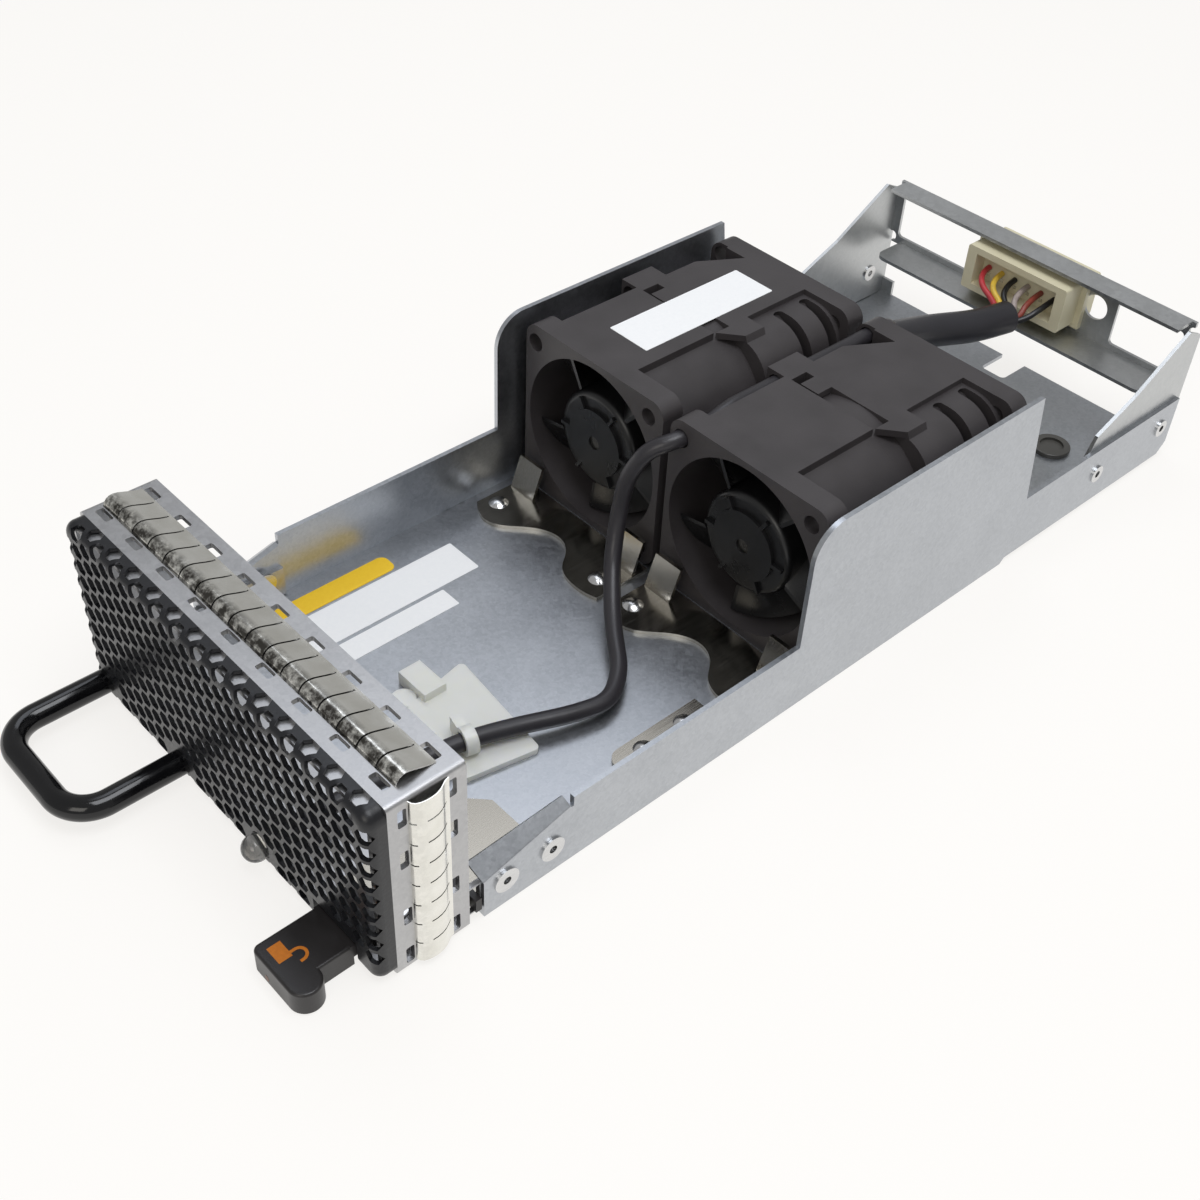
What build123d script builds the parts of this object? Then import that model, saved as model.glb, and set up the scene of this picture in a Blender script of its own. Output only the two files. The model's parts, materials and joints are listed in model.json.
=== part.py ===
from build123d import *
from math import atan2, cos, pi, radians, sin, tan
import os

# Fan tray for a network switch: a sheet-metal tray with two double fans, a grille
# with a handle and a lock lever in front, and a connector bracket behind.
# Millimetres. +X is right and +Y is rearward, seen from the front. The origin lies
# on the underside of the floor. Depths are measured back from the bezel's front face.

# Sheets and clearances
sheet = 1.0
thin_sheet = 0.8
foil = 0.3
fit_gap = 0.02
shaft_gap = 0.05
hole_gap = 0.1
part_gap = 0.3
cut_over = 1.0

# Tray
tray_width = 87.4
origin_depth = 90.0
tray_start = 17.5
tray_end = 219.7
step_start = 156.6
step_rise = 1.2
low_wall = 15.5
wall_end = 217.8
wall_end_chamfer = 2.5
raised_start = 91.5
raised_end = 156.5
raised_foot = 160.5
raised_top = 42.2
raised_corner = 7.0
flap_start_z = 8.5
flap_rise = 4.9
flap_end = 36.0
flap_slit = 0.6
flap_front_height = 4.2
flap_rear_height = 2.1
flap_lean = 50.0
mitre_share = 0.414
notch_half_width = 3.3
notch_depth = 8.7
notch_corner = 1.2
plug_hole_radius = 3.3
plug_x = 27.5
plug_depth = 196.7
plug_cup = 0.6

# Bezel
bezel_height = 39.9
bezel_depth = 14.5
bezel_corner = 1.0
lip_reach = 2.2
lip_overlap = 1.4
lip_drop = 0.2
arm_end = 36.5
arm_overlap = 1.2
arm_bottom = 1.3
arm_height = 6.7
latch_slot_start = 14.7
latch_slot_end = 17.4
latch_slot_bottom = 1.6
latch_slot_top = 7.6
slot_pitch = 9.8
slot_length = 3.75
slot_width = 1.6
slot_corner = 0.4
slot_count = 9
slot_first_x = -39.8
front_slot_depth = 2.6
rear_slot_depth = 11.8
side_slot_heights = (3.4, 13.2, 26.8, 36.2)

# Spring gaskets
finger_pitch = 4.9
finger_gap = 0.5
top_finger_count = 17
top_finger_start = -42.0
side_finger_count = 8
side_finger_pitch = 4.78
side_finger_bottom = 1.3
gasket_front = 3.6
gasket_crest = 5.2
gasket_back = 10.8
gasket_rise = 1.75
gasket_rail = 1.0

# Face grille
grille_reach = 3.7
grille_bottom = 0.3
grille_corner = 2.6
grille_fold = 2.0
cell_pitch = 3.62
cell_flats = 2.9
cell_top_z = 37.28
cell_bend_shares = (0.47, 0.24, 0.49)
top_cell_depth = -1.2
cell_columns = 26
cell_rows = 10
leg_margin = 4.4
lamp_margin = 4.2
lever_margin = 2.2

# Handle
rod_radius = 2.35
rod_z = 4.5
leg_x_left = -39.4
leg_x_right = -13.4
bar_reach = 24.5
rod_bend = 6.7
screw_radius = 1.5
screw_length = 8.0
screw_head_radius = 2.2
screw_head = 1.6

# Status lamp
lamp_x = 11.2
lamp_z = 4.8
lamp_radius = 2.5
lamp_tip = 7.2
lamp_flange_radius = 2.9
lamp_flange_start = 0.4
lamp_end = 1.4
holder_radius = 3.3
holder_start = -1.6
holder_end = 2.6
holder_foot_start = 0.2
holder_foot_width = 5.0

# Lock lever
lever_top = 5.0
lever_bottom = 0.2
lever_neck_left = 27.5
lever_neck_right = 37.6
lever_neck_bottom = 2.1
thumb_front = 16.3
thumb_back = 10.3
thumb_right = 40.8
thumb_corner = 1.3
lever_edge = 0.5
lever_notch_left = 26.3
lever_notch_right = 38.2
lever_notch_top = 5.6
pivot_x = 36.5
pivot_depth = 5.0
pivot_radius = 1.5
pivot_boss = 4.2
pivot_head_radius = 2.8
pivot_head = 1.0
washer_radius = 3.0
washer_thick = 0.5
washer_float = 0.1
nose_width = 1.2
nose_back = 17.2
nose_tip_x = 43.5
nose_arm_right = 40.2
nose_arm_width = 3.1
base_plate_left = 23.4
base_plate_corner = 3.0
base_plate_right = 40.9
base_plate_start = 3.0
base_plate_end = 33.4

# Rivets of the walls: depth, height
front_rivets = ((22.1, 6.05), (32.0, 6.05))
rear_rivets = ((188.1, 8.7), (212.6, 9.7))
rivet_radius = 1.6
front_rivet_head = 2.5
rear_rivet_head = 2.0
rivet_head_thick = 0.4
rivet_eye = 0.8

# Rear bracket
web_back = 219.6
web_top = 33.4
web_bottom = 17.0
web_half_width = 41.35
web_corner_z = 18.6
web_corner_top = 31.0
shelf_start = 209.1
shelf_half_width = 38.5
shelf_corner = 2.5
top_flange_start = 213.2
top_flange_half_width = 40.2
ear_front = 183.6
ear_bottom = 2.4
ear_step_z = 14.0
ear_knee_depth = 186.0
ear_knee_z = 18.8
ear_slope_depth = 197.9
ear_slope_z = 23.7
ear_top_depth = 214.5
foot_width = 3.4
foot_top = 6.2
relief_radius = 1.2
window_left = (-39.7, -15.5)
window_right = (22.7, 39.5)
window_bottom = 19.0
window_top = 30.0
window_corner = 1.0
guide_hole_x = 17.4
guide_hole_z = 25.9
guide_hole_radius = 3.0

# Rear connector
connector_left = -14.0
connector_right = 13.6
connector_bottom = 20.0
connector_top = 31.0
connector_front = 211.0
connector_back = 224.5
connector_wall = 1.6
connector_recess = 7.5
connector_pocket = 4.0
connector_pocket_inset = 2.6
connector_flange = 1.4
connector_edge = 0.6
contact_columns = 6
contact_rows = 2
contact_pitch = 3.7
contact_row_pitch = 4.2
contact_size = 0.9
contact_reach = 6.0
wire_straight = 2.4

# Fans
fan_size = 40.0
fan_spacing = 42.0
fan_front = 97.8
fan_joint = 128.3
fan_back = 155.8
fan_corner = 3.2
fan_bore = 18.6
flange_thick = 5.2
back_flange_thick = 4.6
joint_band = 5.4
barrel_radius = 19.7
top_flat_left = -15.2
top_flat_right = 7.2
top_flat_end = 124.0
channel_floor = 13.0
base_flat_half_width = 15.0
screw_spacing = 32.0
screw_hole_radius = 1.8
cable_hole_x = -17.1
cable_hole_rise = 16.0
cable_boss_rise = 17.3
cable_hole_radius = 1.95
band_flat_right = 12.0
band_shoulder_x = 15.0
band_shoulder_rise = 13.2
boss_left = -19.6
boss_right = -13.6
boss_start = 123.7
boss_end = 132.2
tongue_left = -11.5
tongue_right = -7.0
tongue_start = 124.4
tongue_thick = 1.4
pocket_start = 141.0
pocket_right = -9.6
pocket_end = 150.6
shoulder_slot_width = 2.2
shoulder_slot_depths = (141.2, 149.0)
shoulder_slot_angles = (16.0, 64.5)
shoulder_half_width = 18.8
shoulder_round = 8.0
wedge_left = 7.4
wedge_right = 12.0
wedge_start = 124.4
wedge_bottom = 18.6

# Fan motors, along the axis from the module's open end
hub_front = 1.2
hub_radius = 11.0
hub_wall = 1.2
hub_end = 21.4
hub_ring_radius = 7.5
hub_shoulder = 0.8
hub_round = 1.4
hub_cap = 2.4
hub_boss_radius = 3.2
hub_boss_length = 4.5
hub_rib_width = 0.8
hub_rib_count = 6
blade_count = 5
blade_start = 2.6
blade_end = 19.8
blade_tip_gap = 0.5
blade_thick = 0.9
blade_root_radius = 10.4
blade_root_sweep = 4.6
blade_tip_sweep = 8.4
blade_root_camber = 1.4
blade_tip_camber = 2.6
shaft_radius = 1.5
shaft_start = 1.6
shaft_end = 21.6
bearing_radius = 3.5
bearing_width = 2.0
bearing_starts = (8.0, 18.6)
tube_wall = 1.0
tube_start = 7.0
stator_radius = 8.8
stator_start = 7.6
stator_end = 18.6
stator_slot = 1.4
stator_slot_count = 4
board_radius = 9.3
board_thick = 0.6
base_start = 22.5
base_thick = 3.0
vane_length = 4.5
vane_thick = 1.1
vane_sweep = 2.2
vane_count = 6

# Fan retainers and floor strip
retainer_left = -40.0
retainer_right = -1.0
retainer_back = 96.8
retainer_wave = (
    (0, 83.6),
    (9.1, 82.5),
    (14.2, 87.2),
    (20.2, 89.4),
    (24.4, 87.4),
    (27.6, 83.6),
    (33.5, 81.8),
    (39.0, 82.8),
)
clip_width = 7.0
clip_foot = 92.4
clip_head = 95.3
clip_height = 9.0
clip_inset = 0.4
dome_radius = 2.15
dome_height = 0.9
retainer_rivet_inset = 3.1
retainer_rivet_right_inset = 4.2
retainer_rivet_depth = 87.0
strip_left = 31.6
strip_right = 41.0
strip_start = 55.2
strip_end = 78.0
strip_corner = 3.0
strip_rivet_x = 34.8
strip_rivet_depths = (62.0, 72.2)

# Cable mount and tie
mount_thick = 1.2
mount_right = 22.8
mount_left = -3.7
mount_start = 32.2
mount_end = 50.6
mount_taper = 3.0
block_left = -7.6
block_right = 0.5
block_start = 38.6
block_end = 43.6
block_height = 3.0
lug_radius = 2.4
lug_x = -3.0
lug_depth = 36.3
tie_x = 14.7
tie_depth = 37.2
tie_z = 5.0
tie_thick = 0.9
tie_width = 2.4
tie_head = 3.4
tie_turn = 14.0

# Cords
lamp_cable_radius = 1.7
sleeve_radius = 3.7
lead_radius = 0.7
lead_start_x = 2.8
lead_start_z = 21.0
lead_spread = 1.2
lead_drop = 2.5
bend_share = 0.45
lamp_cable_route = [
    (11.2, 2.75, 4.8),
    (12.4, 20.0, 5.0),
    (14.7, 37.2, 5.0),
    (17.8, 46.9, 4.5),
    (21.3, 55.8, 4.0),
    (23.2, 64.0, 3.6),
    (18.9, 70.6, 4.0),
    (9.0, 77.5, 6.0),
    (0.8, 84.6, 12.0),
    (-2.0, 88.4, 20.0),
    (-1.7, 89.8, 28.6),
    (0.9, 92.4, 35.2),
    (3.9, 96.4, 37.1),
    (3.9, 105.6, 36.9),
    (3.9, 110.6, 38.4),
    (3.9, 134.0, 38.2),
    (3.9, 157.8, 38.3),
    (2.2, 161.0, 35.4),
    (-0.8, 163.8, 31.2),
    (-2.3, 167.0, 28.4),
]
sleeve_route = [
    (-2.4, 168.1, 27.8),
    (-2.2, 181.0, 24.6),
    (2.4, 194.5, 23.0),
    (4.2, 204.0, 22.6),
]

# Worked-out sizes
half_width = tray_width / 2
inner_wall_x = half_width - sheet
fan_x = fan_spacing / 2
fan_z = sheet + fan_size / 2
cell_column_pitch = cell_pitch * sin(pi / 3)
lever_drop = lever_top - lever_neck_bottom
stator_bore = bearing_radius + tube_wall + fit_gap

os.makedirs("parts", exist_ok=True)


def behind(depth):
    """The part's y at a depth behind the bezel's front face."""
    return depth - origin_depth


def facing(depth):
    """An upright plane at a depth, looking forward, with X across and Z up."""
    return Plane.XZ.offset(-behind(depth))


def prism(plane, points, thickness, corner=0, mode=Mode.ADD):
    """Add or cut a prism with a cornered outline on a plane."""
    with BuildSketch(plane) as outline:
        with BuildLine():
            Polyline(*points, close=True)
        make_face()
        if corner:
            fillet(outline.vertices(), corner)
    extrude(outline.sketch, amount=thickness, mode=mode)


def block(x_span, y_span, z_span, mode=Mode.ADD):
    """Add or cut a block between three pairs of sides."""
    with BuildSketch(Plane.XY.offset(z_span[0])) as outline:
        with Locations((sum(x_span) / 2, sum(y_span) / 2)):
            Rectangle(x_span[1] - x_span[0], y_span[1] - y_span[0])
    extrude(outline.sketch, amount=z_span[1] - z_span[0], mode=mode)


def disc(plane, x, y, radius, thickness, mode=Mode.ADD):
    """Add or cut a round disc standing on a plane."""
    with BuildSketch(plane) as outline:
        with Locations((x, y)):
            Circle(radius)
    extrude(outline.sketch, amount=thickness, mode=mode)


def save(name, part):
    """Label one finished piece and write it to its file."""
    part.label = name
    export_step(part, f"parts/{name}.step")


def bend_radii(points, share=bend_share):
    """The largest arcs that the runs of a cord's route leave room for."""
    radii = []
    for before, corner, after in zip(points, points[1:], points[2:]):
        run_in = Vector(*corner) - Vector(*before)
        run_out = Vector(*after) - Vector(*corner)
        turn = radians(run_in.get_angle(run_out))
        radii.append(share * min(run_in.length, run_out.length) / tan(turn / 2))
    return radii


def tube(name, route, radius):
    """Add a round cord along straight runs joined by tangent arcs."""
    points = [(x, behind(depth), z) for x, depth, z in route]
    radii = bend_radii(points)
    with BuildLine() as path:
        FilletPolyline(*points, radius=radii)
    with BuildSketch(Plane(origin=path.line @ 0, z_dir=path.line % 0)) as section:
        Circle(radius)
    sweep(section.sketch, path=path.line)
    print(name, "length", round(path.wire().length, 1), "radii", [round(r, 1) for r in radii])


# Tray base
with BuildPart() as tray_base:
    front = behind(tray_start)
    step = behind(step_start)
    rear = behind(tray_end)
    wall_rear = behind(wall_end)
    slope = atan2(flap_rise, flap_end - tray_start)
    with BuildSketch(Plane.YZ.offset(inner_wall_x)) as wall:
        with BuildLine():
            Polyline(
                (front, 0),
                (step, 0),
                (step + step_rise, step_rise),
                (wall_rear - wall_end_chamfer, step_rise),
                (wall_rear, step_rise + wall_end_chamfer),
                (wall_rear, low_wall),
                (behind(raised_foot), low_wall),
                (behind(raised_end), raised_top),
                (behind(raised_start), raised_top),
                (behind(raised_start), low_wall),
                (behind(flap_end) + flap_slit, low_wall),
                (behind(flap_end) + flap_slit, flap_start_z + flap_rise),
                (behind(flap_end), flap_start_z + flap_rise),
                (front, flap_start_z),
                close=True,
            )
        make_face()
        top_corners = wall.vertices().group_by(Axis.Y)[-1].sort_by(Axis.X)
        fillet(top_corners[0], raised_corner)
    extrude(amount=sheet)

    # Flap bent inward along a rising fold
    fold_start = Vector(half_width - sheet / 2, front, flap_start_z)
    along = Vector(0, cos(slope), sin(slope))
    upward = Vector(0, -sin(slope), cos(slope))
    lean = radians(flap_lean)
    outward = upward * cos(lean) + Vector(-sin(lean), 0, 0)
    fold_length = (flap_end - tray_start) / cos(slope)
    with BuildSketch(Plane(origin=fold_start, x_dir=along, z_dir=along.cross(outward))):
        with BuildLine():
            Polyline(
                (0, 0),
                (fold_length, 0),
                (fold_length, flap_rear_height),
                (0, flap_front_height),
                close=True,
            )
        make_face()
    extrude(amount=sheet / 2, both=True)
    with BuildSketch(Plane(origin=fold_start, z_dir=along)):
        Circle(sheet / 2)
    extrude(amount=fold_length)
    mirror(about=Plane.YZ)

    # Floor, stepped up behind the fans
    mitre = mitre_share * sheet
    with BuildSketch(Plane.YZ):
        with BuildLine():
            Polyline(
                (front, 0),
                (step, 0),
                (step + step_rise, step_rise),
                (rear, step_rise),
                (rear, step_rise + sheet),
                (step + step_rise - mitre, step_rise + sheet),
                (step - mitre, sheet),
                (front, sheet),
                close=True,
            )
        make_face()
    extrude(amount=inner_wall_x, both=True)

    # Rear notch, plug hole and rivet holes
    with BuildSketch(Plane.XY):
        with Locations((0, rear)):
            RectangleRounded(2 * notch_half_width, 2 * notch_depth, notch_corner)
        with Locations((plug_x, behind(plug_depth))):
            Circle(plug_hole_radius)
    extrude(amount=step_rise + sheet + cut_over, mode=Mode.SUBTRACT)
    with BuildSketch(Plane.YZ):
        with Locations(*[(behind(depth), height) for depth, height in front_rivets + rear_rivets]):
            Circle(rivet_radius + fit_gap)
    extrude(amount=half_width + cut_over, both=True, mode=Mode.SUBTRACT)
save("tray_base", tray_base.part)

# Front bezel
with BuildPart() as front_bezel:
    with BuildSketch(facing(bezel_depth)):
        with Locations((0, bezel_height / 2)):
            RectangleRounded(tray_width, bezel_height, bezel_corner)
            Rectangle(tray_width - 2 * sheet, bezel_height - 2 * sheet, mode=Mode.SUBTRACT)
    extrude(amount=bezel_depth)

    # Lip that stands forward inside the grille pan
    lip_height = bezel_height - 2 * sheet - lip_drop
    with BuildSketch(facing(lip_overlap)):
        with Locations((0, bezel_height - sheet - lip_height / 2)):
            RectangleRounded(tray_width - 2 * sheet, lip_height, grille_corner)
            Rectangle(tray_width - 4 * sheet, lip_height - 2 * sheet, mode=Mode.SUBTRACT)
    extrude(amount=lip_overlap + lip_reach)
    lip_gaps = (
        (lamp_x - holder_radius - part_gap, lamp_x + holder_radius + part_gap),
        (lever_notch_left, lever_notch_right),
    )
    for gap in lip_gaps:
        block(
            gap,
            (behind(-lip_reach - cut_over), behind(lip_overlap + cut_over)),
            (sheet, 2 * sheet + lip_drop),
            mode=Mode.SUBTRACT,
        )

    # Arms inside the tray walls
    for side in (-1, 1):
        block(
            sorted((side * (inner_wall_x - sheet), side * inner_wall_x)),
            (behind(bezel_depth - arm_overlap), behind(arm_end)),
            (arm_bottom, arm_bottom + arm_height),
        )
    block(
        (inner_wall_x - sheet - cut_over, inner_wall_x + cut_over),
        (behind(latch_slot_start), behind(latch_slot_end)),
        (latch_slot_bottom, latch_slot_top),
        mode=Mode.SUBTRACT,
    )

    # Slots for the gasket's hooks, and rivet holes
    slot_xs = [slot_first_x + index * slot_pitch for index in range(slot_count)]
    slot_depths = (front_slot_depth, rear_slot_depth)
    with BuildSketch(Plane.XY.offset(bezel_height + cut_over)):
        with Locations(*[(x, behind(depth)) for x in slot_xs for depth in slot_depths]):
            RectangleRounded(slot_length, slot_width, slot_corner)
    extrude(amount=-(2 * sheet + cut_over), mode=Mode.SUBTRACT)
    with BuildSketch(Plane.YZ.offset(inner_wall_x)):
        with Locations(*[(behind(d), z) for z in side_slot_heights for d in slot_depths]):
            RectangleRounded(slot_width, slot_length, slot_corner)
    extrude(amount=sheet + cut_over, mode=Mode.SUBTRACT)
    with BuildSketch(Plane.YZ):
        with Locations(*[(behind(depth), height) for depth, height in front_rivets]):
            Circle(rivet_radius + fit_gap)
    extrude(amount=half_width, both=True, mode=Mode.SUBTRACT)
save("front_bezel", front_bezel.part)


def finger_section(plane, crest, back, rail_offset):
    """One spring finger's bowed section, drawn as depth against rise."""
    with BuildSketch(plane) as section:
        with BuildLine():
            outer = [
                (behind(gasket_front), rail_offset),
                (behind(gasket_crest), rail_offset + crest),
                (behind(back), rail_offset),
            ]
            Polyline(*outer)
            inner = [
                (behind(back) - 3 * foil, rail_offset),
                (behind(gasket_crest), rail_offset + crest - foil),
                (behind(gasket_front) + foil, rail_offset),
            ]
            Polyline(outer[-1], *inner, outer[0])
        make_face()
    return section.sketch


# Spring gasket along the bezel's top
with BuildPart() as top_gasket:
    gasket_width = top_finger_count * finger_pitch - finger_gap
    for depth in (gasket_front, gasket_back - gasket_rail):
        block(
            (top_finger_start, top_finger_start + gasket_width),
            (behind(depth), behind(depth + gasket_rail)),
            (bezel_height, bezel_height + foil),
        )
    for index in range(top_finger_count):
        start = top_finger_start + index * finger_pitch
        section = finger_section(Plane.YZ.offset(start), gasket_rise, gasket_back, bezel_height)
        extrude(section, amount=finger_pitch - finger_gap)
save("top_gasket", top_gasket.part)

# Spring gasket down the bezel's right side
with BuildPart() as side_gasket:
    gasket_height = side_finger_count * side_finger_pitch - finger_gap
    for depth in (gasket_front, gasket_back - gasket_rail):
        block(
            (half_width, half_width + foil),
            (behind(depth), behind(depth + gasket_rail)),
            (side_finger_bottom, side_finger_bottom + gasket_height),
        )
    for index in range(side_finger_count):
        height = side_finger_bottom + index * side_finger_pitch
        plan = Plane(origin=(0, 0, height), x_dir=(0, 1, 0), z_dir=(0, 0, -1))
        section = finger_section(plan, gasket_rise, gasket_back, half_width)
        extrude(section, amount=-(side_finger_pitch - finger_gap))
save("side_gasket", side_gasket.part)


def cell_is_free(x, z):
    """Whether a hole of the grille is clear of the legs, the lamp and the lever."""
    for leg_x in (leg_x_left, leg_x_right):
        if (x - leg_x) ** 2 + (z - rod_z) ** 2 < leg_margin ** 2:
            return False
    if (x - lamp_x) ** 2 + (z - lamp_z) ** 2 < lamp_margin ** 2:
        return False
    beside_lever = lever_notch_left - lever_margin < x < lever_notch_right + lever_margin
    return not (beside_lever and z < lever_notch_top + lever_margin)


# Face grille
with BuildPart() as face_grille:
    grille_height = bezel_height - grille_bottom
    with BuildSketch(facing(0)):
        with Locations((0, grille_bottom + grille_height / 2)):
            RectangleRounded(tray_width, grille_height, grille_corner)
    extrude(amount=grille_reach)
    fillet(face_grille.faces().sort_by(Axis.Y)[0].edges(), grille_fold)
    offset(amount=-thin_sheet, openings=face_grille.faces().sort_by(Axis.Y)[-1])

    # The pattern of holes runs on over the folded edges, so these are cut square to the bend
    fold_y = behind(-grille_reach + grille_fold)
    top_turn, side_turn, bottom_turn = [share * pi / 2 for share in cell_bend_shares]
    bend_planes = []
    for column in range(cell_columns):
        x = (column - (cell_columns - 1) / 2) * cell_column_pitch
        top_hole = (x, fold_y, bezel_height - grille_fold)
        bottom_hole = (x, fold_y, grille_bottom + grille_fold)
        if column % 2 == 0:
            lean = (0, -cos(top_turn), sin(top_turn))
            bend_planes.append(Plane(origin=top_hole, x_dir=(1, 0, 0), z_dir=lean))
            continue
        over = (x, behind(top_cell_depth), bezel_height - grille_fold)
        bend_planes.append(Plane(origin=over, x_dir=(1, 0, 0), z_dir=(0, 0, 1)))
        if cell_is_free(x, grille_bottom):
            lean = (0, -cos(bottom_turn), -sin(bottom_turn))
            bend_planes.append(Plane(origin=bottom_hole, x_dir=(1, 0, 0), z_dir=lean))
    for side in (-1, 1):
        for row in range(cell_rows - 1):
            z = cell_top_z - (row + 1 / 2) * cell_pitch
            side_hole = (side * (half_width - grille_fold), fold_y, z)
            along = (cos(side_turn), side * sin(side_turn), 0)
            lean = (side * sin(side_turn), -cos(side_turn), 0)
            bend_planes.append(Plane(origin=side_hole, x_dir=along, z_dir=lean))
    with BuildSketch(*bend_planes):
        RegularPolygon(cell_flats / 2, 6, major_radius=False)
    extrude(amount=grille_fold + cut_over, mode=Mode.SUBTRACT)

    # Hexagon holes in staggered columns
    cells = []
    for column in range(cell_columns):
        x = (column - (cell_columns - 1) / 2) * cell_column_pitch
        for row in range(cell_rows):
            z = cell_top_z - (row + (column + 1) % 2 / 2) * cell_pitch
            if cell_is_free(x, z):
                cells.append((x, z))
    with BuildSketch(facing(-grille_reach + grille_fold)):
        with Locations(*cells):
            RegularPolygon(cell_flats / 2, 6, major_radius=False)
    extrude(amount=grille_fold + cut_over, mode=Mode.SUBTRACT)

    # Openings for the lamp, the handle's screws and the lever
    disc(facing(0), lamp_x, lamp_z, lamp_radius + hole_gap, grille_reach + cut_over, Mode.SUBTRACT)
    for leg_x in (leg_x_left, leg_x_right):
        disc(facing(0), leg_x, rod_z, screw_radius + hole_gap, grille_reach + cut_over, Mode.SUBTRACT)
    block(
        (lever_notch_left, lever_notch_right),
        (behind(-grille_reach - cut_over), behind(0)),
        (0, lever_notch_top),
        mode=Mode.SUBTRACT,
    )
save("face_grille", face_grille.part)

# Handle
with BuildPart() as handle:
    with BuildLine() as rod_path:
        FilletPolyline(
            (leg_x_left, behind(-grille_reach), rod_z),
            (leg_x_left, behind(-bar_reach), rod_z),
            (leg_x_right, behind(-bar_reach), rod_z),
            (leg_x_right, behind(-grille_reach), rod_z),
            radius=rod_bend,
        )
    with BuildSketch(Plane(origin=rod_path.line @ 0, z_dir=rod_path.line % 0)):
        Circle(rod_radius)
    sweep()
    for leg_x in (leg_x_left, leg_x_right):
        disc(facing(-grille_reach), leg_x, rod_z, screw_radius + fit_gap, screw_length, Mode.SUBTRACT)
save("handle", handle.part)

# Screws that hold the handle from behind the grille
with BuildPart() as handle_screws:
    for leg_x in (leg_x_left, leg_x_right):
        pan_back = -grille_reach + thin_sheet
        disc(facing(pan_back), leg_x, rod_z, screw_radius, screw_length - part_gap)
        disc(facing(pan_back), leg_x, rod_z, screw_head_radius, -screw_head)
save("handle_screws", handle_screws.part)

# Status lamp
with BuildPart() as status_lamp_lens:
    lamp_plane = Plane(origin=(lamp_x, 0, lamp_z), x_dir=(1, 0, 0), z_dir=(0, 0, 1))
    with BuildSketch(lamp_plane):
        with BuildLine():
            dome_start = behind(-lamp_tip + lamp_radius)
            Line((0, behind(lamp_end)), (lamp_flange_radius, behind(lamp_end)))
            Line((lamp_flange_radius, behind(lamp_end)), (lamp_flange_radius, behind(lamp_flange_start)))
            Line((lamp_flange_radius, behind(lamp_flange_start)), (lamp_radius, behind(lamp_flange_start)))
            Line((lamp_radius, behind(lamp_flange_start)), (lamp_radius, dome_start))
            RadiusArc((lamp_radius, dome_start), (0, behind(-lamp_tip)), lamp_radius)
            Line((0, behind(-lamp_tip)), (0, behind(lamp_end)))
        make_face()
    revolve(axis=Axis((lamp_x, 0, lamp_z), (0, 1, 0)))
save("status_lamp_lens", status_lamp_lens.part)

# Holder of the lamp, behind the grille
with BuildPart() as lamp_holder:
    disc(facing(holder_end), lamp_x, lamp_z, holder_radius, holder_end - holder_start)
    block(
        (lamp_x - holder_foot_width / 2, lamp_x + holder_foot_width / 2),
        (behind(holder_foot_start), behind(holder_end)),
        (sheet, lamp_z),
    )
    disc(facing(lamp_end), lamp_x, lamp_z, lamp_radius + fit_gap, lamp_end - holder_start, Mode.SUBTRACT)
    flange_room = lamp_end - lamp_flange_start
    disc(facing(lamp_end), lamp_x, lamp_z, lamp_flange_radius + fit_gap, flange_room, Mode.SUBTRACT)
save("lamp_holder", lamp_holder.part)

# Lock lever
with BuildPart() as lock_lever:
    thumb_radius = (thumb_front - thumb_back) / 2
    with BuildSketch(Plane.XY.offset(lever_bottom)):
        with BuildLine():
            Polyline(
                (thumb_right - thumb_radius, behind(-thumb_back)),
                (lever_neck_right, behind(-thumb_back)),
                (lever_neck_right, behind(-grille_reach - part_gap)),
                (lever_neck_left, behind(-grille_reach - part_gap)),
                (lever_neck_left, behind(-thumb_front + thumb_corner)),
            )
            RadiusArc(
                (lever_neck_left, behind(-thumb_front + thumb_corner)),
                (lever_neck_left + thumb_corner, behind(-thumb_front)),
                -thumb_corner,
            )
            Line(
                (lever_neck_left + thumb_corner, behind(-thumb_front)),
                (thumb_right - thumb_radius, behind(-thumb_front)),
            )
            ThreePointArc(
                (thumb_right - thumb_radius, behind(-thumb_front)),
                (thumb_right, behind(-thumb_back - thumb_radius)),
                (thumb_right - thumb_radius, behind(-thumb_back)),
            )
        make_face()
    extrude(amount=lever_top - lever_bottom)
    fillet(lock_lever.faces().sort_by(Axis.Z)[-1].edges(), lever_edge)

    # Neck, boss and arm behind the grille
    neck_front = -grille_reach - thin_sheet
    arm_foot_x = nose_arm_right - nose_arm_width
    with BuildSketch(Plane.XY.offset(lever_neck_bottom)):
        with BuildLine():
            Polyline(
                (lever_neck_left, behind(neck_front)),
                (lever_neck_right, behind(neck_front)),
                (lever_neck_right, behind(pivot_depth)),
                (lever_neck_left + thumb_radius, behind(pivot_depth)),
                (lever_neck_left, behind(pivot_depth - thumb_radius)),
                close=True,
            )
        make_face()
        with Locations((pivot_x, behind(pivot_depth))):
            Circle(pivot_boss)
    extrude(amount=lever_drop)
    prism(
        Plane.XY.offset(lever_neck_bottom),
        [
            (arm_foot_x, behind(pivot_depth)),
            (nose_arm_right, behind(pivot_depth)),
            (nose_arm_right, behind(nose_back - nose_width)),
            (nose_tip_x, behind(nose_back - nose_width)),
            (nose_tip_x, behind(nose_back)),
            (arm_foot_x, behind(nose_back)),
        ],
        lever_drop,
    )
    disc(
        Plane.XY,
        pivot_x,
        behind(pivot_depth),
        pivot_radius + shaft_gap,
        lever_top + cut_over,
        Mode.SUBTRACT,
    )
save("lock_lever", lock_lever.part)

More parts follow.
